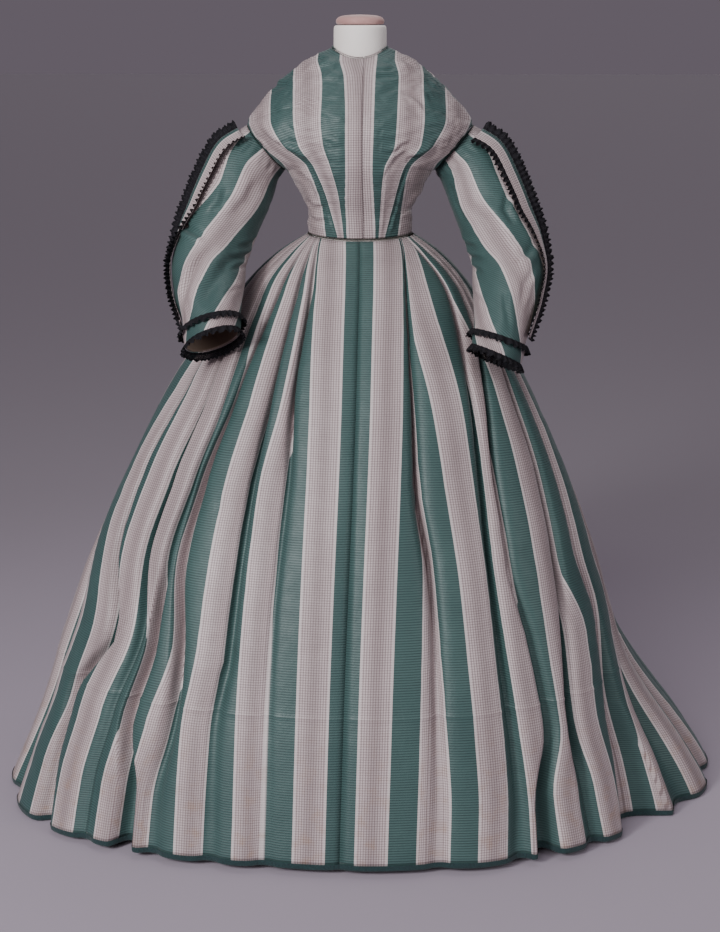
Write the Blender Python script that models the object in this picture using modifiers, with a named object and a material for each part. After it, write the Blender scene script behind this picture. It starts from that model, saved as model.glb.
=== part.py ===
"""Victorian day dress of striped silk, standing on a limbless dress form.

Metres, +Z up. The wearer's front faces -Y, and the wearer's right is -X.
The origin is the centre of the form's base, on the floor.
"""
import math

import bpy
from mathutils import Vector

DRESS = "victorian_day_dress"

# Driving dimensions
GAP = 0.0003              # between pieces that touch
CLOTH = 0.0015            # silk with its lining
LACE = 0.0012             # gathered lace edging
STRIPE = 0.103            # one green and one cream stripe of the silk
BREADTH = 5 * STRIPE      # the silk's width from selvedge to selvedge
BREADTHS = 9              # breadths of silk in the skirt
BREADTH_GAP = 0.0004      # from the seam line to each breadth's edge
HALF_CLOTH = BREADTHS * BREADTH / 2
WAIST = 0.998             # height of the waist seam at the sides
WAIST_DIP = 0.004         # how much lower the seam is in front
CORD = 0.0014             # radius of a piping cord in its cover
HEM_LIFT = 0.010          # the front hem clears the floor by this much
FLOOR_CLEAR = 0.0005      # the rest of the hem lies this close to the floor
BRAID_TALL = 0.009        # of the braid that binds the hem
BRAID_THICK = 0.0032
BRAID_END_GAP = 0.0008    # from the seam line to each length's end

SILK_GREEN = (0.075, 0.19, 0.165)
SILK_CREAM = (0.56, 0.50, 0.49)
BRAID_TEAL = (0.01, 0.07, 0.07)
LACE_BLACK = (0.006, 0.005, 0.008)
FORM_WHITE = (0.80, 0.77, 0.75)
CAP_PINK = (0.62, 0.36, 0.34)
PAINTED_GREY = (0.18, 0.18, 0.19)


def table(columns, rows):
    """Rows of numbers as a list of dictionaries with named columns."""
    return [dict(zip(columns.split(), row)) for row in rows]


def smooth_between(points, x):
    """A smooth curve through (x, y) points, sorted by x, that never overshoots them."""
    if x <= points[0][0]:
        return points[0][1]
    if x >= points[-1][0]:
        return points[-1][1]
    slopes = [(b[1] - a[1]) / (b[0] - a[0]) for a, b in zip(points, points[1:])]
    tangents = [slopes[0]]
    for before, after in zip(slopes, slopes[1:]):
        tangents.append(0.0 if before * after <= 0 else 2 * before * after / (before + after))
    tangents.append(slopes[-1])
    i = next(k for k in range(len(slopes)) if x <= points[k + 1][0])
    (x0, y0), (x1, y1) = points[i], points[i + 1]
    width = x1 - x0
    t = (x - x0) / width
    return (
        (2 * t**3 - 3 * t**2 + 1) * y0
        + (t**3 - 2 * t**2 + t) * width * tangents[i]
        + (3 * t**2 - 2 * t**3) * y1
        + (t**3 - t**2) * width * tangents[i + 1]
    )


def blend(low, high, x):
    """0 below low, 1 above high, and a smooth step between."""
    t = min(max((x - low) / (high - low), 0.0), 1.0)
    return t * t * (3 - 2 * t)


def clear_scene():
    for item in list(bpy.data.objects):
        bpy.data.objects.remove(item, do_unlink=True)


def material(name, colour, roughness, metallic=0.0):
    """A Principled material, made once."""
    made = bpy.data.materials.get(name)
    if made is None:
        made = bpy.data.materials.new(name)
        made.use_nodes = True
        shader = made.node_tree.nodes["Principled BSDF"]
        shader.inputs["Base Color"].default_value = (*colour, 1.0)
        shader.inputs["Roughness"].default_value = roughness
        shader.inputs["Metallic"].default_value = metallic
    return made


def silk():
    return material("striped_silk", SILK_CREAM, 0.45)


def green_silk():
    return material("green_silk", SILK_GREEN, 0.45)


def braid():
    return material("hem_braid", BRAID_TEAL, 0.7)


def lace():
    return material("black_lace", LACE_BLACK, 0.8)


def place(thing, finish, smooth=True):
    """Puts an object in the dress's collection with its material."""
    home = bpy.data.collections.get(DRESS)
    if home is None:
        home = bpy.data.collections.new(DRESS)
        bpy.context.scene.collection.children.link(home)
    for other in list(thing.users_collection):
        other.objects.unlink(thing)
    home.objects.link(thing)
    thing.data.materials.clear()
    thing.data.materials.append(finish)
    if smooth and thing.type == "MESH":
        thing.data.shade_smooth()
        thing.data.set_sharp_from_angle(angle=math.radians(50))
    return thing


def normals(rows, ring=False):
    """Unit normals at the points of a loft, found from each point's neighbours."""
    wide = len(rows[0])
    found = []
    for r, row in enumerate(rows):
        above = rows[max(r - 1, 0)]
        below = rows[min(r + 1, len(rows) - 1)]
        line = []
        for c in range(wide):
            before = row[c - 1] if ring or c > 0 else row[c]
            after = row[(c + 1) % wide] if ring or c < wide - 1 else row[c]
            line.append((below[c] - above[c]).cross(after - before).normalized())
        found.append(line)
    return found


def moved(rows, by, ring=False):
    """A loft's points moved along their normals by a distance."""
    around = normals(rows, ring)
    return [[p + n * by for p, n in zip(row, line)] for row, line in zip(rows, around)]


def loft_mesh(name, rows, ring, flip, ends=False):
    """Faces between rows of points; flat ends close a ring loft into a solid."""
    wide = len(rows[0])
    points = [tuple(p) for row in rows for p in row]
    faces = []
    for r in range(len(rows) - 1):
        for c in range(wide if ring else wide - 1):
            d = (c + 1) % wide
            faces.append((r * wide + c, (r + 1) * wide + c, (r + 1) * wide + d, r * wide + d))
    if ends:
        faces.append(tuple(range(wide)))
        faces.append(tuple(range((len(rows) - 1) * wide, len(rows) * wide))[::-1])
    mesh = bpy.data.meshes.new(name)
    mesh.from_pydata(points, [], [face[::-1] for face in faces] if flip else faces)
    thing = bpy.data.objects.new(name, mesh)
    bpy.context.scene.collection.objects.link(thing)
    return thing


def sheet(name, rows, thickness, finish, ring=False, flip=False):
    """A wall of cloth whose outer face passes through rows of points.

    The outer face is the one on the side of normals(rows), or the other one if flipped.
    """
    thing = loft_mesh(name, rows, ring, flip)
    wall = thing.modifiers.new("wall", "SOLIDIFY")
    wall.thickness = thickness
    wall.offset = -1.0
    wall.use_even_offset = True
    return place(thing, finish)


def solid_loft(name, rings, finish, flip=False):
    """A closed solid through rings of points, with flat ends."""
    return place(loft_mesh(name, rings, True, flip, ends=True), finish)


def lathe(name, profile, steps, finish):
    """A solid of revolution about the Z axis, from a profile that starts and ends on it."""
    mesh = bpy.data.meshes.new(name)
    mesh.from_pydata([(r, 0.0, z) for r, z in profile], [(i, i + 1) for i in range(len(profile) - 1)], [])
    thing = bpy.data.objects.new(name, mesh)
    bpy.context.scene.collection.objects.link(thing)
    turn = thing.modifiers.new("turn", "SCREW")
    turn.axis = "Z"
    turn.angle = 2 * math.pi
    turn.screw_offset = 0.0
    turn.steps = steps
    turn.render_steps = steps
    turn.use_merge_vertices = True
    turn.merge_threshold = 0.0001
    return place(thing, finish)


def cord(name, points, radius, finish, ring=True):
    """A piping cord through points, closed in a ring or with filled ends."""
    curve = bpy.data.curves.new(name, "CURVE")
    curve.dimensions = "3D"
    curve.bevel_depth = radius
    curve.bevel_resolution = 1
    curve.resolution_u = 1
    curve.render_resolution_u = 1
    curve.use_fill_caps = not ring
    spline = curve.splines.new("POLY")
    spline.points.add(len(points) - 1)
    for knot, point in zip(spline.points, points):
        knot.co = (*point, 1.0)
    spline.use_cyclic_u = ring
    thing = bpy.data.objects.new(name, curve)
    bpy.context.scene.collection.objects.link(thing)
    return place(thing, finish)


# The skirt's ring sections, from the floor up. Right and left are the wearer's.
SKIRT_SECTIONS = table(
    "height right left front back middle square drift",
    (
        (0.000, 0.6480, 0.5750, 0.5180, 0.8400, -0.040, 2.50, -0.010),
        (0.150, 0.5830, 0.5200, 0.4940, 0.7100, -0.060, 2.40, -0.007),
        (0.310, 0.5300, 0.4680, 0.4480, 0.6150, -0.080, 2.30, -0.004),
        (0.470, 0.4680, 0.4170, 0.3900, 0.5350, -0.090, 2.20, 0.000),
        (0.620, 0.3960, 0.3580, 0.3260, 0.4500, -0.080, 2.15, 0.004),
        (0.750, 0.3290, 0.2940, 0.2640, 0.3700, -0.055, 2.10, 0.006),
        (0.850, 0.2520, 0.2320, 0.2020, 0.2900, -0.030, 2.05, 0.006),
        (0.905, 0.2060, 0.1980, 0.1640, 0.2300, -0.015, 2.00, 0.006),
        (0.948, 0.1660, 0.1610, 0.1270, 0.1700, -0.005, 2.00, 0.005),
        (0.975, 0.1300, 0.1300, 0.1020, 0.1240, 0.000, 2.00, 0.004),
        (0.996, 0.0950, 0.0960, 0.0880, 0.0900, 0.000, 2.00, 0.003),
    ),
)
SKIRT_TOP = WAIST - CORD - 2 * GAP
SKIRT_LOW = FLOOR_CLEAR + BRAID_TALL + GAP
ROW_HEIGHTS = (SKIRT_TOP, 0.966, 0.925, 0.865, 0.775, 0.650, 0.500, 0.330, 0.150, SKIRT_LOW)

# The front pleats. At each marked height: where along the cloth, from the centre front, the
# middle of the hidden cloth lies, and how much cloth the pleat hides there.
MARKS = (0.0, 0.10, 0.22, 0.35, 0.48, 0.60, 0.75, 0.906, 0.996)
FRONT_PLEATS = table(
    "side middles hides",
    (
        (
            "left",
            (0.165, 0.165, 0.165, 0.165, 0.160, 0.145, 0.150, 0.165, 0.172),
            (0.002, 0.003, 0.013, 0.030, 0.050, 0.075, 0.107, 0.160, 0.184),
        ),
        (
            "left",
            (0.312, 0.312, 0.312, 0.312, 0.312, 0.318, 0.325, 0.358, 0.330),
            (0.008, 0.014, 0.024, 0.034, 0.040, 0.036, 0.030, 0.056, 0.104),
        ),
        (
            "left",
            (0.390, 0.392, 0.408, 0.400, 0.378, 0.378, 0.395, 0.440, 0.421),
            (0.045, 0.054, 0.020, 0.020, 0.022, 0.030, 0.045, 0.038, 0.050),
        ),
        (
            "left",
            (0.515, 0.515, 0.503, 0.515, 0.5425, 0.5425, 0.538, 0.530, 0.515),
            (0.010, 0.015, 0.069, 0.060, 0.103, 0.102, 0.110, 0.108, 0.110),
        ),
        (
            "left",
            (0.680, 0.680, 0.678, 0.672, 0.668, 0.664, 0.658, 0.655, 0.652),
            (0.060, 0.055, 0.042, 0.032, 0.024, 0.030, 0.042, 0.090, 0.136),
        ),
        (
            "right",
            (0.127, 0.127, 0.127, 0.127, 0.125, 0.122, 0.138, 0.130, 0.125),
            (0.002, 0.002, 0.002, 0.004, 0.010, 0.020, 0.056, 0.082, 0.091),
        ),
        (
            "right",
            (0.224, 0.224, 0.224, 0.216, 0.216, 0.218, 0.228, 0.230, 0.224),
            (0.003, 0.004, 0.008, 0.028, 0.034, 0.042, 0.049, 0.066, 0.088),
        ),
        (
            "right",
            (0.330, 0.330, 0.325, 0.350, 0.360, 0.360, 0.352, 0.335, 0.330),
            (0.004, 0.008, 0.036, 0.056, 0.040, 0.058, 0.070, 0.070, 0.098),
        ),
        (
            "right",
            (0.412, 0.412, 0.455, 0.455, 0.425, 0.425, 0.425, 0.425, 0.423),
            (0.046, 0.050, 0.050, 0.050, 0.034, 0.034, 0.034, 0.034, 0.058),
        ),
        (
            "right",
            (0.515, 0.515, 0.515, 0.515, 0.515, 0.515, 0.515, 0.515, 0.515),
            (0.003, 0.003, 0.004, 0.018, 0.048, 0.050, 0.066, 0.080, 0.100),
        ),
        (
            "right",
            (0.640, 0.650, 0.668, 0.620, 0.640, 0.640, 0.640, 0.650, 0.660),
            (0.030, 0.030, 0.050, 0.056, 0.040, 0.030, 0.060, 0.110, 0.150),
        ),
    ),
)
FRONT_OPENINGS = (0.0450, 0.0360, 0.0280, 0.0220, 0.0160, 0.0130, 0.0100, 0.0080, 0.0040)
BACK_OPENINGS = (0.0720, 0.0600, 0.0500, 0.0380, 0.0280, 0.0200, 0.0140, 0.0090, 0.0040)
DEEPEST = (0.0500, 0.0380, 0.0340, 0.0350, 0.0360, 0.0340, 0.0280, 0.0170, 0.0026)
FRONT_CLOTH = 0.745                     # the table's pleats take up this much of each side
SIDE_PLEATS = 2                         # from there to the next seam
PLEATS_A_BREADTH = 4                    # in the back breadths
SEAM_MARGIN = 0.0025                    # flat cloth kept beside each seam there
FLOOR_SHARE = 0.36                      # a pleat's flat bottom, as a share of its opening
FLOOR_LEAST = 0.0020                    # and no narrower than this
BULGE = 0.045                           # how far a panel swells between pleats, to its width
NOTCH = 4                               # the left pleat that opens wide beside the train
NOTCH_OPENING = 2.7
UNEVEN = 0.20                           # how much the back pleats differ, low down
FIT_FROM = 0.45                         # share of a half ring after which pleats share the rest
# The train stands out on the left, most at its middle along the cloth and below its top.
TRAIN = dict(middle=0.98, reach=0.36, fade=0.80, top=0.29, push=0.088)
# The hem's lift off the floor, in front only.
LIFT = dict(full=0.42, none=0.72, top=0.20)


def section(height):
    """The skirt's ring section at a height."""
    names = [n for n in SKIRT_SECTIONS[0] if n != "height"]
    return {n: smooth_between([(r["height"], r[n]) for r in SKIRT_SECTIONS], height) for n in names}


def half_ring(height, side, steps=40):
    """Points from the centre front round one side to the centre back, and their distances."""
    ring = section(height)
    sign = 1 if side == "left" else -1
    power = 2 / ring["square"]
    points = []
    for i in range(2 * steps + 1):
        angle = math.pi * i / (2 * steps)
        across = abs(math.sin(angle)) ** power
        along = abs(math.cos(angle)) ** power
        depth = -ring["front"] - ring["middle"] if i <= steps else ring["back"] - ring["middle"]
        drift = ring["drift"] * along if i <= steps else 0.0
        x = sign * ring[side] * across + drift
        points.append(Vector((x, ring["middle"] + depth * along, height)))
    far = [0.0]
    for a, b in zip(points, points[1:]):
        far.append(far[-1] + (b - a).length)
    return points, far


def on_ring(points, far, distance):
    """The point and the outward direction at a distance along a half ring."""
    distance = min(max(distance, 0.0), far[-1] * 0.999999)
    i = next(k for k in range(len(far) - 1) if far[k + 1] > distance)
    t = (distance - far[i]) / (far[i + 1] - far[i])
    before = points[i] - points[i - 1] if i > 0 else points[1] - points[0]
    after = points[i + 1] - points[i]
    along = before.normalized().lerp(after.normalized(), 0.5 + 0.5 * t) if i > 0 else after
    outward = Vector((along.y, -along.x, 0.0)).normalized()
    spot = points[i].lerp(points[i + 1], t)
    if outward.dot(Vector((spot.x, spot.y, 0.0))) < 0:
        outward.negate()
    if i == 0 and t < 0.5:
        outward = Vector((0.0, -1.0, 0.0))
    return spot, outward


def at_height(values, height):
    return smooth_between(list(zip(MARKS, values)), height)


def back_pleats():
    """The middle and the cloth of each pleat from the side to the centre back."""
    found = []
    start = FRONT_CLOTH
    for number in range(2, (BREADTHS + 1) // 2 + 1):
        end = min(number * BREADTH, HALF_CLOTH)
        count = SIDE_PLEATS if number == 2 else round(PLEATS_A_BREADTH * (end - start) / BREADTH)
        cloth = (end - start - 2 * SEAM_MARGIN) / count
        found += [(start + SEAM_MARGIN + (i + 0.5) * cloth, cloth) for i in range(count)]
        start = end
    return found


def pleats_at(height, side):
    """Each pleat of one side at a height: its middle, hidden cloth and opening."""
    found = []
    for number, pleat in enumerate(p for p in FRONT_PLEATS if p["side"] == side):
        opening = at_height(FRONT_OPENINGS, height)
        if side == "left" and number == NOTCH:
            opening *= 1 + (NOTCH_OPENING - 1) * (1 - blend(0.0, 0.4, height))
        found.append((at_height(pleat["middles"], height), at_height(pleat["hides"], height), opening))
    far = half_ring(height, side)[1][-1]
    left_over = max(HALF_CLOTH - far - sum(hides for _, hides, _ in found), 0.0)
    back = back_pleats()
    for number, (middle, cloth) in enumerate(back):
        low = 1 - blend(0.80, 0.97, height)
        uneven = 1 + UNEVEN * low * math.sin(2.4 * number + 5 * height)
        hides = left_over * cloth / sum(c for _, c in back) * uneven
        opening = at_height(BACK_OPENINGS, height) * (1 + low * 0.18 * (math.sin(1.7 * number + 1) - 0.8))
        found.append((middle, hides, opening))
    return found


def pleat_columns(height, side):
    """Where the cloth turns at a height: its place on the cloth, on the ring, and its depth."""
    columns = [dict(cloth=0.0, ring=0.0, depth=0.0)]
    cloth = ring = 0.0
    for middle, hides, opening in pleats_at(height, side):
        used = hides + opening
        start = middle - used / 2
        depth = min(math.sqrt((used / 2) ** 2 - (opening / 2) ** 2), at_height(DEEPEST, height))
        flat = min(max(FLOOR_SHARE * opening, FLOOR_LEAST), 0.8 * opening)
        inside = [s - start for s in seams() if start < s < start + used]
        turn = inside[0] if inside else used / 2
        ring += start - cloth
        floor_start = (opening - flat) / 2
        for along, across, deep in (
            (0.0, 0.0, 0.0),
            (turn - 0.02 * used, floor_start, depth),
            (turn + 0.02 * used, floor_start + flat, depth),
            (used, opening, 0.0),
        ):
            columns.append(dict(cloth=start + along, ring=ring + across, depth=deep))
        cloth = start + used
        ring += opening
    columns.append(dict(cloth=HALF_CLOTH, ring=ring + HALF_CLOTH - cloth, depth=0.0))
    return columns


def seams():
    """Where along the cloth, from the centre front, the breadths are joined."""
    return [number * BREADTH for number in range(1, (BREADTHS + 1) // 2)]


def between(a, b, cloth):
    """A column of the cloth between two others, swelling outwards on a panel."""
    t = (cloth - a["cloth"]) / (b["cloth"] - a["cloth"])
    wide = b["ring"] - a["ring"]
    swell = 4 * t * (1 - t) * BULGE * wide if a["depth"] == b["depth"] == 0 else 0.0
    depth = a["depth"] + t * (b["depth"] - a["depth"]) - swell
    return dict(cloth=cloth, ring=a["ring"] + t * wide, depth=depth)


def skirt_columns(height, side):
    """The pleats' columns with those of the seams and of the panels' middles between them."""
    turns = pleat_columns(height, side)
    full = [turns[0]]
    for a, b in zip(turns, turns[1:]):
        inside = [s for s in seams() if a["cloth"] < s < b["cloth"]]
        panel = a["depth"] == b["depth"] == 0
        if inside and panel:
            stops = [(a["cloth"] + inside[0]) / 2, inside[0], (inside[0] + b["cloth"]) / 2]
        elif inside:
            stops = inside
        elif panel:
            stops = [(a["cloth"] + b["cloth"]) / 2]
        else:
            stops = []
        full += [between(a, b, stop) for stop in stops]
        full.append(b)
    points, far = half_ring(height, side)
    matched = FIT_FROM * far[-1]
    stretch = (far[-1] - matched) / (full[-1]["ring"] - matched)
    for column in full:
        if column["ring"] > matched:
            column["ring"] = matched + (column["ring"] - matched) * stretch
        column.update(points=points, far=far, seam=column["cloth"] in seams())
    return full


def skirt_point(column, height, side, shift=0.0, out=0.0, drop=0.0):
    """A point of the skirt's outer face, moved along the ring, outwards and down."""
    point, outward = on_ring(column["points"], column["far"], column["ring"] + shift)
    if side == "left":
        near = blend(TRAIN["middle"] - TRAIN["reach"], TRAIN["middle"], column["cloth"])
        away = 1 - blend(TRAIN["middle"], TRAIN["middle"] + TRAIN["fade"], column["cloth"])
        low = 1 - blend(0.0, TRAIN["top"], height)
        point = point + outward * TRAIN["push"] * near * away * low
    point = point - outward * (column["depth"] - out)
    in_front = 1 - blend(LIFT["full"], LIFT["none"], column["cloth"])
    lift = HEM_LIFT * in_front * (1 - blend(0.0, LIFT["top"], height))
    return Vector((point.x, point.y, point.z + lift - waist_dip(point.y, height) - drop))


def waist_dip(y, height):
    """How far the waist seam hangs below its height at the sides."""
    front = min(max(-y / SKIRT_SECTIONS[-1]["front"], 0.0), 1.0)
    return WAIST_DIP * front**2 * blend(0.93, SKIRT_TOP, height)


def breadth_edges(columns):
    """The first and last column of each breadth on one side."""
    marks = [0] + [i for i, c in enumerate(columns) if c["seam"]] + [len(columns) - 1]
    return list(zip(marks, marks[1:]))


def breadth_row(height, number, out=0.0, drop=0.0, end_gap=BREADTH_GAP):
    """One row of a breadth: its number counts from the centre front to the centre back."""
    last = (BREADTHS - 1) // 2
    rows = {}
    for side in ("left", "right"):
        columns = skirt_columns(height, side)
        first, end = breadth_edges(columns)[abs(number) - 1]
        row = []
        for i in range(first, end + 1):
            shift = end_gap if i == first else 0.0
            if i == end and abs(number) != last + 1:
                shift = -end_gap
            row.append(skirt_point(columns[i], height, side, shift, out, drop))
        rows[side] = row
    if abs(number) == last + 1:
        return rows["left"] + rows["right"][-2::-1]
    if number > 0:
        return rows["left"]
    return rows["right"][::-1]


def breadth_numbers():
    """Positive to the wearer's left, negative to the right, the last one at the back."""
    last = (BREADTHS - 1) // 2
    return [n for k in range(1, last + 1) for n in (k, -k)] + [last + 1]


def breadth_name(number):
    last = (BREADTHS - 1) // 2
    if abs(number) == last + 1:
        return "back"
    return ("left_" if number > 0 else "right_") + str(abs(number))


def build_skirt():
    for number in breadth_numbers():
        rows = [breadth_row(height, number) for height in ROW_HEIGHTS]
        sheet("skirt_breadth_" + breadth_name(number), rows, CLOTH, silk())


def build_hem_braid():
    """The braid bound over the skirt's lower edge, one length to each breadth."""
    proud = (BRAID_THICK - CLOTH) / 2
    for number in breadth_numbers():
        above, edge = [breadth_row(h, number, proud, 0.0, BRAID_END_GAP) for h in ROW_HEIGHTS[-2:]]
        tilts = [max(n.z, 0.0) for n in normals([above, edge])[1]]
        top = [p - Vector((0.0, 0.0, GAP + 1.6 * CLOTH * tilt)) for p, tilt in zip(edge, tilts)]
        low = [p - Vector((0.0, 0.0, GAP + BRAID_TALL)) for p in edge]
        sheet("hem_braid_" + breadth_name(number), [top, low], BRAID_THICK, braid())


# The bodice's outer face. Each row goes round from the centre of the front or of the back to
# the side edge, where the other panel or the sleeve meets it.
BODICE_ROWS = table(
    "front_z front back_z back edge_x edge_z front_edge_y back_edge_y",
    (
        (0.9957, 0.0840, 0.9997, 0.0860, 0.0925, 0.9997, 0.000, 0.000),
        (1.0350, 0.0900, 1.0400, 0.0880, 0.0905, 1.0360, 0.000, 0.000),
        (1.0750, 0.1060, 1.0780, 0.0980, 0.1065, 1.0740, 0.000, 0.000),
        (1.1250, 0.1220, 1.1250, 0.1080, 0.1300, 1.1120, 0.000, 0.000),
        (1.1650, 0.1240, 1.1650, 0.1120, 0.1440, 1.1260, -0.038, 0.038),
        (1.2000, 0.1180, 1.2000, 0.1120, 0.1700, 1.1580, -0.049, 0.049),
        (1.2320, 0.1050, 1.2350, 0.1060, 0.1970, 1.1900, 0.000, 0.000),
        (1.2620, 0.0880, 1.2680, 0.0940, 0.1520, 1.2480, 0.000, 0.000),
        (1.2870, 0.0720, 1.2950, 0.0780, 0.1040, 1.2900, 0.000, 0.000),
        (1.3020, 0.0515, 1.3170, 0.0515, 0.0495, 1.3205, 0.000, 0.000),
    ),
)
BODICE_SQUARE = 2.1       # 2 is an ellipse, more is squarer
FRONT_EDGE = 0.009        # the right front laps this far over to the wearer's left
FRONT_COLUMNS = 9
BACK_COLUMNS = 18


def bodice_point(row, part, angle, sign):
    """A point of the bodice: angle 0 is the centre, a quarter turn is the side edge."""
    power = 2 / BODICE_SQUARE
    deep = -row["front"] if part == "front" else row["back"]
    edge_y = row[part + "_edge_y"]
    middle_z = row[part + "_z"]
    across = math.sin(angle) ** power
    along = abs(math.cos(angle)) ** power
    return Vector((
        sign * row["edge_x"] * across,
        edge_y + (deep - edge_y) * along,
        middle_z + (row["edge_z"] - middle_z) * math.sin(angle) ** 2,
    ))


def apart(rows, columns, direction):
    """Keeps a panel's side edges clear of the other panel's, through the wall's thickness."""
    around = normals(rows)
    for row, line in zip(rows, around):
        for c in columns:
            row[c] = row[c] + Vector((0.0, direction * (GAP / 2 + 1.1 * CLOTH * abs(line[c].y)), 0.0))
    return rows


def front_row(row, sign):
    """A row of one front, from its opening edge to its side edge."""
    start = FRONT_EDGE if sign < 0 else FRONT_EDGE + GAP
    first = math.asin((start / row["edge_x"]) ** (BODICE_SQUARE / 2))
    points = [bodice_point(row, "front", first, 1)]
    begin = 0.0 if sign < 0 else first
    for i in range(FRONT_COLUMNS):
        share = i / (FRONT_COLUMNS - 1)
        if sign > 0 and i == 0:
            continue
        points.append(bodice_point(row, "front", begin + (math.pi / 2 - begin) * share, sign))
    return points


def back_row(row):
    """A row of the back, from the wearer's left side edge to the right one."""
    points = []
    for i in range(BACK_COLUMNS + 1):
        share = 2 * i / BACK_COLUMNS - 1
        points.append(bodice_point(row, "back", math.pi / 2 * abs(share), -1 if share > 0 else 1))
    return points


def build_bodice():
    top_first = BODICE_ROWS[::-1]
    right = apart([front_row(r, -1) for r in top_first], (-1,), -1)
    left = apart([front_row(r, 1) for r in top_first], (-1,), -1)
    back = apart([back_row(r) for r in top_first], (0, -1), 1)
    sheet("bodice_front_right", right, CLOTH, silk(), flip=True)
    sheet("bodice_front_left", left, CLOTH, silk())
    sheet("bodice_back", back, CLOTH, silk())


def ring_points(count, right, front, back, z):
    """Points round an oval about the Z axis, starting at the centre front."""
    points = []
    for i in range(count):
        angle = 2 * math.pi * (i + 0.5) / count
        x = right * math.sin(angle)
        y = -(front if math.cos(angle) > 0 else back) * math.cos(angle)
        points.append(Vector((x, y, z)))
    return points


NECK_START = 11.8         # degrees from the centre front to where the neck piping begins
NECK_END = 369.0          # and to where it ends, on the lap


def build_waist_and_neck_piping():
    waist = ring_points(28, 0.0932, 0.0853, 0.0873, WAIST)
    waist = [p - Vector((0.0, 0.0, waist_dip(p.y, WAIST))) for p in waist]
    cord("waist_piping", waist, CORD, silk())
    low, high = BODICE_ROWS[-1]["front_z"], BODICE_ROWS[-1]["edge_z"]
    points = []
    inset = CLOTH / 2
    for i in range(19):
        angle = math.radians(NECK_START + (NECK_END - NECK_START) * i / 18)
        deep = BODICE_ROWS[-1]["front"] - inset
        x = (BODICE_ROWS[-1]["edge_x"] - inset) * math.sin(angle)
        y = -deep * math.cos(angle)
        middle = low if math.cos(angle) > 0 else BODICE_ROWS[-1]["back_z"]
        z = middle + (high - middle) * math.sin(angle) ** 2
        points.append(Vector((x, y, z + CORD + 2 * GAP)))
    cord("neck_piping", points, CORD, silk(), ring=False)


# The sleeves, on the wearer's left; the right one is mirrored. Each section is an oval between
# an outer and an inner point, as deep as given, its front leaning up. The last column is the
# way round to the band's middle, in degrees from the outermost line to the front. Below the
# elbow each sleeve hangs its own way.
ARMHOLE = dict(outer=(0.1970, 1.1900), inner=(0.1300, 1.1120), depth=0.0500)
SLEEVE_MEASURES = "outer_x outer_z inner_x inner_z y depth lean band"
UPPER_SLEEVE = table(
    SLEEVE_MEASURES,
    (
        (0.2480, 1.1600, 0.1450, 1.0900, -0.004, 0.066, 0, 32),
        (0.2780, 1.1110, 0.1577, 1.0563, -0.012, 0.076, 0, 34),
        (0.3000, 1.0563, 0.1753, 1.0133, -0.028, 0.081, 3, 33),
        (0.3180, 0.9980, 0.1915, 0.9700, -0.056, 0.081, 8, 20),
    ),
)
LOWER_SLEEVE = {
    -1: table(
        SLEEVE_MEASURES,
        (
            (0.3265, 0.9500, 0.1975, 0.9440, -0.096, 0.076, 14, 10),
            (0.3180, 0.9060, 0.1955, 0.9150, -0.140, 0.067, 20, 6),
            (0.2970, 0.8600, 0.1960, 0.8860, -0.186, 0.058, 25, 4),
            (0.2860, 0.8240, 0.1960, 0.8560, -0.216, 0.050, 28, 4),
        ),
    ),
    1: table(
        SLEEVE_MEASURES,
        (
            (0.3265, 0.9490, 0.2000, 0.9430, -0.098, 0.076, 13, 10),
            (0.3165, 0.9000, 0.2010, 0.9090, -0.144, 0.066, 14, 6),
            (0.2950, 0.8420, 0.2020, 0.8690, -0.190, 0.056, 13, 4),
            (0.2800, 0.8020, 0.2020, 0.8360, -0.220, 0.049, 12, 4),
        ),
    ),
}
PIPING_AWAY = 0.0029      # from the bodice's armhole edge to the middle of the piping
SLEEVE_START = 0.0046     # from that edge to the sleeve
SLEEVE_COLUMNS = 14
SLEEVE_SEAM = 0.0006      # from a seam line to the edge of either panel
LAID = 0.0007             # between the sleeve and what is laid on it
BAND_WIDTH = 0.037        # of the straight band down the sleeve
BAND_FROM = 0.30          # along the sleeve, counted in sections
BAND_TO = 7.0
CUFF_FROM = 7.3           # to the sleeve's end
LACE_TALL = 0.018
CUFF_LACE_TALL = 0.016
BAND_WAVES = 20
CUFF_WAVES = 18
WAVE_DEEP = 0.0035        # how far the lace's edge swings each way


def armhole_ring(count, side, along=0.0, first=0.0):
    """Points round an armhole, moved along its axis into the sleeve."""
    (ox, oz), (ix, iz) = ARMHOLE["outer"], ARMHOLE["inner"]
    axis = Vector((oz - iz, 0.0, ix - ox)).normalized()
    points = []
    for i in range(count):
        angle = first + 2 * math.pi * i / count
        x = (ox + ix) / 2 + (ox - ix) / 2 * math.cos(angle) + axis.x * along
        z = (oz + iz) / 2 + (oz - iz) / 2 * math.cos(angle) + axis.z * along
        points.append(Vector((side * x, -ARMHOLE["depth"] * math.sin(angle), z)))
    return points


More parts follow.
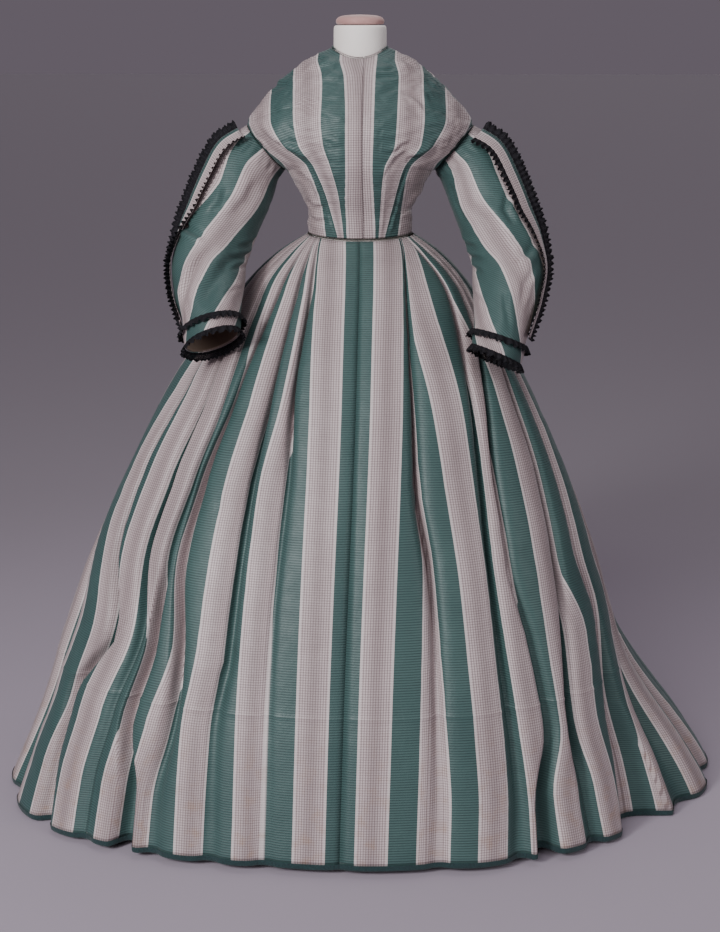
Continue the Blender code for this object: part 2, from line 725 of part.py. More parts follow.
def sleeve_rings(side):
    """Rings of points down a sleeve. The first three points of each lie under the band."""
    (ox, oz), (ix, iz) = ARMHOLE["outer"], ARMHOLE["inner"]
    axis = Vector((oz - iz, 0.0, ix - ox)).normalized() * SLEEVE_START
    top = (ox + axis.x, oz + axis.z, ix + axis.x, iz + axis.z, 0.0, ARMHOLE["depth"] + 0.0005, 0, 30)
    rings = []
    for s in table(SLEEVE_MEASURES, (top,)) + UPPER_SLEEVE + LOWER_SLEEVE[side]:
        outer = Vector((s["outer_x"], s["y"], s["outer_z"]))
        inner = Vector((s["inner_x"], s["y"], s["inner_z"]))
        lean = math.radians(s["lean"])
        front = Vector((0.0, -math.cos(lean), math.sin(lean))) * s["depth"]
        centre = (outer + inner) / 2
        reach = (outer - inner) / 2
        band = math.radians(s["band"])
        rate = (front * math.cos(band) - reach * math.sin(band)).length
        half = BAND_WIDTH / 2 / rate
        angles = [band - half, band, band + half]
        rest = SLEEVE_COLUMNS - 3
        spare = 2 * math.pi - 2 * half
        angles += [band + half + spare * (i + 1) / (rest + 1) for i in range(rest)]
        ring = [centre + reach * math.cos(a) + front * math.sin(a) for a in angles]
        rings.append([Vector((side * p.x, p.y, p.z)) for p in ring])
    return rings


def sleeve_panel(rings, first):
    """Half of each ring, from a column to the one opposite, with room at both seams."""
    rows = []
    for ring in rings:
        row = [ring[(first + i) % SLEEVE_COLUMNS] for i in range(SLEEVE_COLUMNS // 2 + 1)]
        row[0] = row[0] + (row[1] - row[0]).normalized() * SLEEVE_SEAM
        row[-1] = row[-1] + (row[-2] - row[-1]).normalized() * SLEEVE_SEAM
        rows.append(row)
    return rows


def between_rings(rings, place_along):
    """The ring of a loft at a fractional count along its rings, on the loft's own faces."""
    i = min(int(place_along), len(rings) - 2)
    t = place_along - i
    return [a.lerp(b, t) for a, b in zip(rings[i], rings[i + 1])]


def along_line(points, count, ring=False):
    """Points spaced evenly along a line of points, and which stretch each lies on."""
    knots = points + points[:1] if ring else points
    far = [0.0]
    for a, b in zip(knots, knots[1:]):
        far.append(far[-1] + (b - a).length)
    found = []
    for k in range(count if ring else count + 1):
        distance = far[-1] * k / count
        i = next((j for j in range(len(far) - 1) if far[j + 1] > distance), len(far) - 2)
        found.append((i, (distance - far[i]) / (far[i + 1] - far[i])))
    return found


def at_stops(values, stops):
    """Values at stops along a line, between those at its points."""
    return [values[i].lerp(values[(i + 1) % len(values)], t) for i, t in stops]


def build_lace(name, base, leaning, waves, tall, ring=False, flip=False):
    """A gathered edging that stands on a line of points, waving from side to side."""
    stops = along_line(base, 2 * waves, ring)
    foot = at_stops(base, stops)
    lean = [v.normalized() for v in at_stops(leaning, stops)]
    count = len(foot)
    rows = [[], []]
    for i in range(count):
        before = foot[i - 1] if ring or i > 0 else foot[i]
        after = foot[(i + 1) % count] if ring or i < count - 1 else foot[i]
        sideways = lean[i].cross(after - before).normalized() * (1 if i % 2 else -1)
        rows[0].append(foot[i] + sideways * WAVE_DEEP * 0.22)
        rows[1].append(foot[i] + lean[i] * tall * (1 + 0.08 * math.sin(2.3 * i)) + sideways * WAVE_DEEP)
    sheet(name, rows, LACE, lace(), ring=ring, flip=flip)


def build_sleeves():
    for side, word in ((-1, "right"), (1, "left")):
        rings = sleeve_rings(side)
        flip = side > 0
        outward = -1.0 if flip else 1.0
        cord("armhole_piping_" + word, armhole_ring(16, side, PIPING_AWAY), CORD, silk())
        # The outer seam lies under the middle of the band, and the inner one opposite it.
        sheet("sleeve_front_" + word, sleeve_panel(rings, 1), CLOTH, silk(), flip=flip)
        sheet("sleeve_back_" + word, sleeve_panel(rings, 1 + SLEEVE_COLUMNS // 2), CLOTH, silk(), flip=flip)
        around = normals(rings, ring=True)

        places = [BAND_FROM] + [i for i in range(1, len(rings)) if BAND_FROM < i < BAND_TO] + [BAND_TO]
        under = [between_rings(rings, p) for p in places]
        faces = [[n.normalized() * outward for n in between_rings(around, p)] for p in places]
        band = [[p + n * (CLOTH + LAID) for p, n in zip(u[:3], f[:3])] for u, f in zip(under, faces)]
        sheet("sleeve_band_" + word, band, CLOTH, silk(), flip=flip)
        for edge, other, where in ((0, 1, "back"), (2, 1, "front")):
            foot = []
            lean = []
            for u, f in zip(under, faces):
                away = (u[edge] - u[other]).normalized()
                foot.append(u[edge] + away * 0.0013 + f[edge] * (LAID + 0.0016))
                lean.append(f[edge] * 0.78 + away * 0.62)
            build_lace("band_lace_" + where + "_" + word, foot, lean, BAND_WAVES, LACE_TALL)

        places = (CUFF_FROM, 8)
        under = [between_rings(rings, p) for p in places]
        faces = [[n.normalized() * outward for n in between_rings(around, p)] for p in places]
        cuff = [[p + n * (CLOTH + LAID) for p, n in zip(u, f)] for u, f in zip(under, faces)]
        sheet("cuff_" + word, cuff, CLOTH, green_silk(), ring=True, flip=flip)
        # Both rows of lace hang: one from the cuff's top over it, one from the sleeve's edge.
        rows = ((0, CLOTH + LAID + 0.0025, 0.0012, "top"), (1, LAID + 0.0023, 0.0009, "edge"))
        for row, out, past, where in rows:
            foot = []
            lean = []
            for top, low, p, n in zip(under[0], under[1], under[row], faces[row]):
                down = (low - top).normalized()
                foot.append(p + down * past + n * out)
                lean.append(n * 0.50 + down * 0.86)
            name = "cuff_lace_" + where + "_" + word
            build_lace(name, foot, lean, CUFF_WAVES, CUFF_LACE_TALL, ring=True, flip=flip)


# The dress form: a limbless torso on a pole, its neck and cap showing above the dress.
FORM_INSET = 0.0040        # from the bodice's outer face to the form
FORM_ANGLES = (0, 15, 30, 45, 60, 72, 84)
FORM_HIPS = table(
    "z right front back",
    (
        (0.880, 0.0950, 0.0840, 0.0880),
        (0.915, 0.0990, 0.0880, 0.0920),
        (0.950, 0.0960, 0.0850, 0.0890),
        (0.975, 0.0885, 0.0790, 0.0815),
        (0.991, 0.0850, 0.0765, 0.0785),
    ),
)
FORM_TOP = dict(z=1.294, right=0.054, front=0.054, back=0.056)
NECK_RADIUS = 0.0463
NECK_TOP = 1.358
CAP_RADIUS = 0.0420
CAP_TOP = 1.376
POLE_RADIUS = 0.016
BASE_RADIUS = 0.190
BASE_TALL = 0.022


def form_ring(point_at):
    """A ring round the form: down the left front, round the back and up the right front."""
    front_left = [point_at("front", math.radians(a), 1) for a in FORM_ANGLES]
    back_left = [point_at("back", math.radians(a), 1) for a in FORM_ANGLES[:0:-1]]
    back_right = [point_at("back", math.radians(a), -1) for a in FORM_ANGLES]
    front_right = [point_at("front", math.radians(a), -1) for a in FORM_ANGLES[:0:-1]]
    return front_left + back_left + back_right + front_right


def oval_point(row, part, angle, sign):
    deep = -row["front"] if part == "front" else row["back"]
    return Vector((sign * row["right"] * math.sin(angle), deep * math.cos(angle), row["z"]))


def build_form():
    bodice = [form_ring(lambda part, a, s, r=row: bodice_point(r, part, a, s)) for row in BODICE_ROWS[:-1]]
    bodice = moved(bodice, FORM_INSET, ring=True)
    hips = [form_ring(lambda part, a, s, r=row: oval_point(r, part, a, s)) for row in FORM_HIPS]
    top = form_ring(lambda part, a, s: oval_point(FORM_TOP, part, a, s))
    cover = material("form_cover", FORM_WHITE, 0.75)
    solid_loft("form_torso", hips + bodice + [top], cover, flip=True)
    neck = ((0.0, NECK_TOP), (0.041, NECK_TOP), (0.045, NECK_TOP - 0.0015))
    neck += ((NECK_RADIUS, NECK_TOP - 0.005), (NECK_RADIUS, FORM_TOP["z"] + GAP))
    neck += ((0.0, FORM_TOP["z"] + GAP),)
    lathe("form_neck", neck, 28, cover)
    low = NECK_TOP + 0.0005
    cap = ((0.0, CAP_TOP), (0.024, CAP_TOP - 0.0012), (0.036, CAP_TOP - 0.004))
    cap += ((CAP_RADIUS, CAP_TOP - 0.009), (CAP_RADIUS, low + 0.002))
    cap += ((CAP_RADIUS - 0.002, low), (0.0, low))
    lathe("form_cap", cap, 28, material("form_cap", CAP_PINK, 0.6))
    metal = material("painted_metal", PAINTED_GREY, 0.4)
    pole_top = FORM_HIPS[0]["z"] - GAP
    pole_low = BASE_TALL + GAP
    pole = ((0.0, pole_top), (POLE_RADIUS, pole_top), (POLE_RADIUS, pole_low), (0.0, pole_low))
    lathe("form_pole", pole, 20, metal)
    base = ((0.0, BASE_TALL), (BASE_RADIUS - 0.004, BASE_TALL), (BASE_RADIUS, BASE_TALL - 0.004))
    base += ((BASE_RADIUS, 0.002), (BASE_RADIUS - 0.002, 0.0), (0.0, 0.0))
    lathe("form_base", base, 36, metal)


def main():
    clear_scene()
    build_skirt()
    build_hem_braid()
    build_bodice()
    build_waist_and_neck_piping()
    build_sleeves()
    build_form()


main()
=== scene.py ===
"""Looks of a striped silk day dress of the crinoline years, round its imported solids."""
import math
from itertools import accumulate

import bpy
from mathutils import Euler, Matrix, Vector, noise


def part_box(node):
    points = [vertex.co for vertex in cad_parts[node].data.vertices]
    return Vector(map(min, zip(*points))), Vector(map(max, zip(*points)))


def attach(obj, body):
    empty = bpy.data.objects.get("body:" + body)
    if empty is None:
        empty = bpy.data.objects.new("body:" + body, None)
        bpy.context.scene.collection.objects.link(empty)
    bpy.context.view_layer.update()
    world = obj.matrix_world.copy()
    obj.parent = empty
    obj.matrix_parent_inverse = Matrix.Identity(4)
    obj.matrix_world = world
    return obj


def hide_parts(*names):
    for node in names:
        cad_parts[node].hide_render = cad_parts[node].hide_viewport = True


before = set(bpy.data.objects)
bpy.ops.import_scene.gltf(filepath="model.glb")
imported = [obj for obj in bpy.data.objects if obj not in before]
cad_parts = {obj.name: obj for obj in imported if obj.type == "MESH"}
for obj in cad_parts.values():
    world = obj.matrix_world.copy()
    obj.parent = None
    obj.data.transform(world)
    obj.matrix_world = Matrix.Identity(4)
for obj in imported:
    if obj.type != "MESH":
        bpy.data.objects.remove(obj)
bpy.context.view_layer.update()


# The dress form is a limbless torso in a white cotton cover. Its neck ends in a padded pink
# cap, and it stands on a painted steel pole with a round foot.

class Shade:
    """A socket of a material's nodes. Arithmetic on it adds Math nodes."""

    def __init__(self, tree, socket=None):
        self.tree = tree
        self.socket = socket

    def node(self, kind, settings=(), values=(), output=0):
        """Any node: its type, its settings, the values or links of its sockets."""
        made = self.tree.nodes.new("ShaderNode" + kind)
        for name, value in dict(settings).items():
            setattr(made, name, value)
        for name, value in dict(values).items():
            if isinstance(value, Shade):
                self.tree.links.new(value.socket, made.inputs[name])
            else:
                made.inputs[name].default_value = value
        return Shade(self.tree, made.outputs[output])

    def math(self, operation, *values):
        return self.node("Math", {"operation": operation}, enumerate(values))

    def __add__(self, other):
        return self.math("ADD", self, other)

    def __radd__(self, other):
        return self.math("ADD", other, self)

    def __rsub__(self, other):
        return self.math("SUBTRACT", other, self)

    def __mul__(self, other):
        return self.math("MULTIPLY", self, other)

    def __rmul__(self, other):
        return self.math("MULTIPLY", other, self)

    def fold(self, pitch):
        """The distance to the nearest whole multiple of a pitch."""
        return self.math("PINGPONG", self, pitch / 2)

    def rise(self, low, high):
        """0 at low and 1 at high, with a smooth step between."""
        return self.node("MapRange", {"interpolation_type": "SMOOTHSTEP"}, {0: self, 1: low, 2: high})

    def mix(self, low, high):
        """One colour where this is 0 and the other where it is 1."""
        low, high = [(*c, 1.0) if isinstance(c, tuple) else c for c in (low, high)]
        return self.node("Mix", {"data_type": "RGBA"}, {0: self, 6: low, 7: high}, 2)

    def into(self, shader, name):
        self.tree.links.new(self.socket, shader.inputs[name])

    def raised(self, shader, distance):
        """Makes this the surface's relief, in units of a distance."""
        self.node("Bump", (), {"Distance": distance, "Height": self}).into(shader, "Normal")


def finish(name, **constants):
    """A Principled material, the start of its nodes and its shader."""
    made = bpy.data.materials.new(name)
    made.use_nodes = True
    shader = made.node_tree.nodes["Principled BSDF"]
    for socket, value in constants.items():
        shader.inputs[socket.replace("_", " ")].default_value = value
    return made, Shade(made.node_tree), shader


def speckle(start, scale, detail=2.0, stretch=(1.0, 1.0, 1.0)):
    """Soft noise over the object's own metres."""
    place = start.node("TexCoord", output=3)
    place = start.node("Mapping", (), {"Vector": place, "Scale": stretch})
    return start.node("TexNoise", (), {"Vector": place, "Scale": scale, "Detail": detail})


def woven_mesh(name, rows, cloth=None, ring=False, flip=False):
    """Faces through rows of points, each with its place on the flat cloth in metres."""
    wide = len(rows[0])
    faces = []
    corners = []
    for r in range(len(rows) - 1):
        for c in range(wide if ring else wide - 1):
            d = (c + 1) % wide
            face = [r * wide + c, (r + 1) * wide + c, (r + 1) * wide + d, r * wide + d]
            spots = [(r, c), (r + 1, c), (r + 1, c + 1), (r, c + 1)]
            faces.append(face[::-1] if flip else face)
            corners += spots[::-1] if flip else spots
    mesh = bpy.data.meshes.new(name)
    mesh.from_pydata([tuple(p) for row in rows for p in row], [], faces)
    mesh.shade_smooth()
    if cloth:
        layer = mesh.uv_layers.new(name="cloth")
        layer.data.foreach_set("uv", [x for r, c in corners for x in cloth[r][c]])
    thing = bpy.data.objects.new(name, mesh)
    bpy.context.scene.collection.objects.link(thing)
    return thing


def dress(piece, slot, nodes, *finishes):
    """Gives a piece its finishes and its place on the part, and hides the solids that it stands for."""
    for made in finishes:
        piece.data.materials.append(made)
    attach(piece, "root")
    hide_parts(*nodes)
    return piece


def turned(name, profile, steps=72):
    """A smooth turned shape about the Z axis, from its profile, closed at both ends."""
    rows = []
    for radius, height in profile:
        angles = [2 * math.pi * i / steps for i in range(steps)]
        rows.append([Vector((radius * math.cos(a), radius * math.sin(a), height)) for a in angles])
    return woven_mesh(name, rows, ring=True, flip=True)


def rounded(points):
    """A profile with its corners cut round, twice over."""
    for _ in range(2):
        soft = [points[0]]
        for (r0, z0), (r1, z1) in zip(points, points[1:]):
            soft.append((r0 * 0.75 + r1 * 0.25, z0 * 0.75 + z1 * 0.25))
            soft.append((r0 * 0.25 + r1 * 0.75, z0 * 0.25 + z1 * 0.75))
        points = soft + [points[-1]]
    return points


cotton, start, shader = finish("form_cotton", Roughness=0.85, Sheen_Weight=0.25)
stain = speckle(start, 9.0, 3.0)
stain.rise(0.35, 0.75).mix((0.80, 0.735, 0.70), (0.88, 0.83, 0.80)).into(shader, "Base Color")
knit = speckle(start, 900.0, 1.0, (1.0, 1.0, 0.55))
(knit + 3.0 * stain).raised(shader, 0.0004)

neck_low, neck_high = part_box("form_neck")
neck_radius = neck_high.x
neck = turned("form_neck_cover", rounded([
    (0.0006, neck_low.z),
    (neck_radius - 0.003, neck_low.z),
    (neck_radius, neck_low.z + 0.004),
    (neck_radius, neck_high.z - 0.006),
    (neck_radius - 0.0015, neck_high.z - 0.001),
    (neck_radius - 0.006, neck_high.z),
    (0.0006, neck_high.z),
]))
dress(neck, "form_cover", ["form_neck"], cotton)
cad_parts["form_torso"].material_slots[0].material = cotton

pad, start, shader = finish("form_cap_cover", Roughness=0.7, Sheen_Weight=0.3)
wear = speckle(start, 22.0, 4.0)
wear.rise(0.35, 0.7).mix((0.40, 0.215, 0.20), (0.56, 0.33, 0.31)).into(shader, "Base Color")
(speckle(start, 700.0, 2.0) + 2.0 * wear).raised(shader, 0.0005)
cap_low, cap_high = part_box("form_cap")
cap_radius = cap_high.x
cap = turned("form_cap_pad", rounded([
    (0.0006, cap_low.z),
    (cap_radius - 0.003, cap_low.z),
    (cap_radius, cap_low.z + 0.003),
    (cap_radius + 0.0004, cap_low.z + 0.008),
    (cap_radius - 0.004, cap_high.z - 0.004),
    (cap_radius - 0.016, cap_high.z - 0.001),
    (0.0006, cap_high.z),
]))
dress(cap, "form_cap", ["form_cap"], pad)

enamel, start, shader = finish("painted_steel", Roughness=0.35, Coat_Weight=0.3)
worn = speckle(start, 14.0, 5.0)
worn.rise(0.3, 0.8).mix((0.10, 0.10, 0.105), (0.15, 0.15, 0.155)).into(shader, "Base Color")
(0.28 + 0.25 * worn).into(shader, "Roughness")
speckle(start, 350.0, 2.0).raised(shader, 0.0002)
for node in ("form_pole", "form_base"):
    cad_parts[node].material_slots[0].material = enamel


# The bodice is fitted over the form in the striped silk, lined with cotton. Two fronts meet
# at hidden hooks, the right lapped over the left, and darts take them in at the waist.

STRIPE = 0.103            # one green and one cream stripe of the silk
GREEN_HALF = 0.024        # half a green stripe
EDGE_LINE = 0.0036        # the plain white edge of a cream stripe
CHECK = 0.0043            # from one line of the check to the next
CHECK_LINE = 0.00075      # half a line's width
DARK_LINES = 0.0100       # how far the darker lines reach from a cream stripe's middle


def silk_finish(name, striped=True):
    """Silk taffeta: green stripes with fine weft lines, cream stripes with a fine check."""
    made, start, shader = finish(name, Specular_IOR_Level=0.4, Sheen_Weight=0.08)
    shader.inputs["Sheen Roughness"].default_value = 0.35
    place = start.node("UVMap", {"uv_map": "cloth"})
    across = start.node("SeparateXYZ", (), {0: place})
    along = start.node("SeparateXYZ", (), {0: place}, 1)
    slub = start.node("TexNoise", (), {"Vector": place, "Scale": 42.0, "Detail": 3.0})
    cloud = speckle(start, 5.5, 4.0)
    crumple = speckle(start, 24.0, 3.0)

    weft = 1.0 - along.fold(CHECK).rise(CHECK_LINE * 0.5, CHECK_LINE * 1.5)
    green = cloud.rise(0.3, 0.7).mix((0.040, 0.083, 0.080), (0.052, 0.101, 0.096))
    green = (weft * (0.20 + 0.75 * slub)).mix(green, (0.009, 0.024, 0.026))
    ribs = start.node("TexNoise", (), {"Vector": place, "Scale": 260.0, "Detail": 1.0})
    relief = 0.5 * weft + 0.35 * ribs + 2.4 * crumple
    if striped:
        out = across.fold(STRIPE)
        cream_side = out.rise(GREEN_HALF - 0.0004, GREEN_HALF + 0.0004)
        middle = STRIPE / 2 - out
        line = 1.0 - middle.fold(CHECK).rise(CHECK_LINE * 0.5, CHECK_LINE * 1.5)
        checked = out.rise(GREEN_HALF + EDGE_LINE - 0.0006, GREEN_HALF + EDGE_LINE + 0.0006)
        deep = 1.0 - middle.rise(DARK_LINES * 0.2, DARK_LINES * 1.9)
        cream = cloud.rise(0.3, 0.7).mix((0.46, 0.378, 0.385), (0.54, 0.448, 0.456))
        cream = (0.40 * deep).mix(cream, (0.13, 0.092, 0.096))
        cream = (line * (0.30 + 0.32 * checked)).mix(cream, (0.11, 0.068, 0.070))
        cream = (weft * (0.22 + 0.36 * slub)).mix(cream, (0.11, 0.080, 0.084))
        cream = (0.6 * (1.0 - checked)).mix(cream, (0.60, 0.545, 0.54))
        soiled = slub.rise(0.45, 0.75) * (1.0 - along.rise(0.04, 0.30)) * along.rise(-0.5, -0.4)
        cream = (0.30 * soiled).mix(cream, (0.30, 0.17, 0.085))
        colour = cream_side.mix(green, cream)
    else:
        colour = green
    colour.into(shader, "Base Color")
    (0.40 + 0.16 * slub).into(shader, "Roughness")
    relief.raised(shader, 0.0006)
    return made


silk = silk_finish("striped_silk")
green_silk = silk_finish("green_silk", striped=False)

lining, start, shader = finish("cotton_lining", Roughness=0.9)
aged = speckle(start, 12.0, 4.0)
aged.rise(0.3, 0.75).mix((0.20, 0.135, 0.10), (0.30, 0.225, 0.175)).into(shader, "Base Color")
(speckle(start, 800.0, 1.0) + aged).raised(shader, 0.0004)


def table(columns, rows):
    """Rows of numbers as a list of dictionaries with named columns."""
    return [dict(zip(columns.split(), row)) for row in rows]


def smooth_between(points, x):
    """A smooth curve through (x, y) points, sorted by x, that never overshoots them."""
    if x <= points[0][0]:
        return points[0][1]
    if x >= points[-1][0]:
        return points[-1][1]
    slopes = [(b[1] - a[1]) / (b[0] - a[0]) for a, b in zip(points, points[1:])]
    tangents = [slopes[0]]
    for before, after in zip(slopes, slopes[1:]):
        tangents.append(0.0 if before * after <= 0 else 2 * before * after / (before + after))
    tangents.append(slopes[-1])
    i = next(k for k in range(len(slopes)) if x <= points[k + 1][0])
    (x0, y0), (x1, y1) = points[i], points[i + 1]
    width = x1 - x0
    t = (x - x0) / width
    return (
        (2 * t**3 - 3 * t**2 + 1) * y0
        + (t**3 - 2 * t**2 + t) * width * tangents[i]
        + (3 * t**2 - 2 * t**3) * y1
        + (t**3 - t**2) * width * tangents[i + 1]
    )


def measures_at(rows, places, x):
    """Each named measure of a table at a place between its rows."""
    return {n: smooth_between([(p, r[n]) for p, r in zip(places, rows)], x) for n in rows[0]}


def columns_at(rows, x):
    """The other columns of a plain table at a value of its first."""
    return [smooth_between([(r[0], r[k]) for r in rows], x) for k in range(1, len(rows[0]))]


def blend(low, high, x):
    """0 below low, 1 above high, and a smooth step between."""
    t = min(max((x - low) / (high - low), 0.0), 1.0)
    return t * t * (3 - 2 * t)


def normals(rows):
    """Unit normals at the points of a loft, from each point's neighbours."""
    last = len(rows[0]) - 1
    found = []
    for r, row in enumerate(rows):
        above = rows[max(r - 1, 0)]
        below = rows[min(r + 1, len(rows) - 1)]
        line = []
        for c in range(last + 1):
            across = row[min(c + 1, last)] - row[max(c - 1, 0)]
            line.append((below[c] - above[c]).cross(across).normalized())
        found.append(line)
    return found


def crease_at(spot, paths):
    """How far the cloth stands out at a flat spot (x, z) beside creases.

    Each path has a width, a depth and corner points. One side of it swells as the line sinks.
    """
    total = 0.0
    for width, depth, *points in paths:
        low_x = min(p[0] for p in points) - 4 * width
        high_x = max(p[0] for p in points) + 4 * width
        low_z = min(p[1] for p in points) - 4 * width
        high_z = max(p[1] for p in points) + 4 * width
        if not (low_x < spot[0] < high_x and low_z < spot[1] < high_z):
            continue
        best = None
        for i, (a, b) in enumerate(zip(points, points[1:])):
            dx, dz = b[0] - a[0], b[1] - a[1]
            size = math.hypot(dx, dz)
            t = ((spot[0] - a[0]) * dx + (spot[1] - a[1]) * dz) / size**2
            t = min(max(t, 0.0), 1.0)
            ax, az = spot[0] - a[0] - t * dx, spot[1] - a[1] - t * dz
            far = math.hypot(ax, az)
            if best is None or far < best[0]:
                side = 1.0 if dx * az - dz * ax > 0 else -1.0
                best = (far, side, (i + t) / (len(points) - 1))
        far, side, share = best
        near = side * far / width
        fade = min(1.0, 4 * share, 4 * (1 - share))
        shape = 0.7 * math.exp(-((near - 1.7) ** 2)) - math.exp(-(near**2))
        total += depth * fade * shape
    return total


def sewn(name, rows, cloth, wall=0.0009, ring=False, flip=False):
    """A wall of cloth with its lining, whose outer face passes through rows of points."""
    thing = woven_mesh(name, rows, cloth, ring, flip)
    solid = thing.modifiers.new("wall", "SOLIDIFY")
    solid.thickness = wall
    solid.offset = -1.0
    solid.material_offset = 1
    return thing


def row_lengths(rows):
    """How far each row lies down the cloth from the first, taken at the rows' middles."""
    far = [0.0]
    for above, below in zip(rows, rows[1:]):
        gaps = [(a - b).length for a, b in zip(above[::4], below[::4])]
        far.append(far[-1] + sum(gaps) / len(gaps))
    return far


BODICE_ROWS = table(
    "front_z front back_z back edge_x edge_z",
    (
        (0.9957, 0.0840, 0.9997, 0.0860, 0.0925, 0.9997),
        (1.0350, 0.0900, 1.0400, 0.0880, 0.0905, 1.0360),
        (1.0750, 0.1060, 1.0780, 0.0980, 0.1065, 1.0740),
        (1.1250, 0.1220, 1.1250, 0.1080, 0.1300, 1.1120),
        (1.1650, 0.1240, 1.1650, 0.1120, 0.1440, 1.1260),
        (1.2000, 0.1180, 1.2000, 0.1120, 0.1700, 1.1580),
        (1.2320, 0.1050, 1.2350, 0.1060, 0.1970, 1.1900),
        (1.2620, 0.0880, 1.2680, 0.0940, 0.1520, 1.2480),
        (1.2870, 0.0720, 1.2950, 0.0780, 0.1040, 1.2900),
        (1.3020, 0.0515, 1.3170, 0.0515, 0.0495, 1.3205),
    ),
)
ARMHOLE = dict(outer=(0.1970, 1.1900), inner=(0.1300, 1.1120), depth=0.0500)
ARMHOLE_TURN = ((3, 180.0), (4, 125.6), (5, 78.8), (6, 0.0))     # row and degrees
BODICE_SQUARE = 2.1       # the power of the bodice's oval, which is 2 for an ellipse
ROW_STEPS = 14
FRONT_COLUMNS = 80
BACK_COLUMNS = 120
LAP = 0.009               # the right front's edge, this far over to the wearer's left
LAP_REACH = 0.020         # how far the left front goes on under it
UNDERLAP = 0.0018         # how far the left front lies below it
EVEN_NEAR_LAP = 0.024     # the cloth is even this near to the lap's edge
BODICE_CLOTH = -0.6       # where the bodice's cloth begins down the length of the silk
SIDE_CLOTH = 1.25         # cloth to each metre across, past the last of the stripe edges below
CREASE_DEPTH = 1.9        # how much deeper a worn bodice's creases are than the paths say
CREASE_EDGE = 6           # rows and columns over which the creases fade to an edge
STANDS_OFF = 0.0024       # from the solid's face to the silk where it is even
DEEPEST_CREASE = -0.0003

# How the stripes show on each front: at a height, how far from the centre the first green ends,
# then the widths of the cream, the green and the cream beside it. Darts narrow them at the waist.
FRONT_STRIPES = {
    -1: (
        (1.00, 0.020, 0.005, 0.011, 0.021),
        (1.06, 0.022, 0.009, 0.021, 0.013),
        (1.12, 0.020, 0.025, 0.030, 0.011),
        (1.16, 0.020, 0.038, 0.044, 0.028),
        (1.20, 0.020, 0.042, 0.048, 0.041),
        (1.27, 0.024, 0.038, 0.052, 0.042),
        (1.30, 0.033, 0.039, 0.043, 0.040),
    ),
    1: (
        (1.00, 0.031, 0.005, 0.011, 0.022),
        (1.06, 0.029, 0.011, 0.023, 0.014),
        (1.12, 0.027, 0.020, 0.034, 0.009),
        (1.16, 0.028, 0.037, 0.045, 0.022),
        (1.20, 0.029, 0.039, 0.047, 0.036),
        (1.27, 0.030, 0.040, 0.042, 0.037),
        (1.30, 0.032, 0.030, 0.043, 0.044),
    ),
}
STRIPE_EDGES = (GREEN_HALF, -GREEN_HALF, GREEN_HALF - STRIPE, -GREEN_HALF - STRIPE)

FRONT_CREASES = (
    (0.0050, 0.0022, (-0.106, 1.270), (-0.070, 1.281), (-0.034, 1.291)),
    (0.0040, 0.0016, (-0.150, 1.248), (-0.118, 1.262)),
    (0.0030, 0.0012, (0.005, 1.271), (0.040, 1.272), (0.075, 1.269)),
    (0.0028, 0.0010, (0.004, 1.257), (0.030, 1.254)),
    (0.0045, 0.0020, (-0.112, 1.238), (-0.088, 1.231), (-0.062, 1.221)),
    (0.0040, 0.0016, (-0.110, 1.226), (-0.085, 1.216), (-0.070, 1.206)),
    (0.0045, 0.0020, (0.074, 1.247), (0.100, 1.238), (0.120, 1.221)),
    (0.0035, 0.0016, (0.078, 1.236), (0.096, 1.222), (0.108, 1.205)),
    (0.0040, 0.0014, (0.082, 1.222), (0.112, 1.206)),
    (0.0080, 0.0050, (-0.172, 1.176), (-0.126, 1.144), (-0.080, 1.123)),
    (0.0070, 0.0050, (0.082, 1.132), (0.108, 1.136), (0.140, 1.150)),
    (0.0040, 0.0024, (0.058, 1.142), (0.078, 1.158), (0.094, 1.164)),
    (0.0040, 0.0024, (0.050, 1.108), (0.066, 1.136), (0.088, 1.150)),
    (0.0028, 0.0016, (0.006, 1.142), (0.012, 1.124), (0.020, 1.096), (0.040, 1.082)),
    (0.0012, 0.0010, (0.042, 1.206), (0.0375, 1.134)),
    (0.0015, 0.0010, (-0.0612, 1.190), (-0.050, 1.134), (-0.040, 1.100), (-0.025, 0.990)),
    (0.0015, 0.0010, (0.0624, 1.151), (0.045, 1.100), (0.036, 0.990)),
    (0.0020, 0.0014, (-0.0800, 1.124), (-0.060, 1.081), (-0.036, 0.990)),
    (0.0020, 0.0014, (0.0860, 1.124), (0.071, 1.081), (0.047, 0.990)),
    (0.0050, 0.0028, (-0.104, 1.112), (-0.084, 1.092), (-0.078, 1.070)),
    (0.0045, 0.0030, (-0.092, 1.062), (-0.076, 1.048), (-0.060, 1.050)),
    (0.0045, 0.0026, (-0.090, 1.030), (-0.070, 1.022), (-0.052, 1.027)),
    (0.0045, 0.0030, (0.108, 1.090), (0.088, 1.072), (0.078, 1.048)),
    (0.0040, 0.0028, (0.094, 1.040), (0.080, 1.046), (0.068, 1.036)),
)
BACK_CREASES = (
    (0.0050, 0.0020, (-0.120, 1.262), (-0.060, 1.276), (0.010, 1.280)),
    (0.0045, 0.0016, (0.030, 1.262), (0.080, 1.254), (0.125, 1.240)),
    (0.0060, 0.0026, (-0.140, 1.180), (-0.100, 1.150), (-0.078, 1.110)),
    (0.0060, 0.0026, (0.145, 1.176), (0.104, 1.152), (0.080, 1.118)),
    (0.0040, 0.0018, (-0.080, 1.060), (-0.050, 1.052), (-0.020, 1.058)),
    (0.0040, 0.0018, (0.020, 1.034), (0.052, 1.042), (0.084, 1.034)),
    (0.0040, 0.0014, (-0.070, 1.020), (-0.030, 1.026)),
)


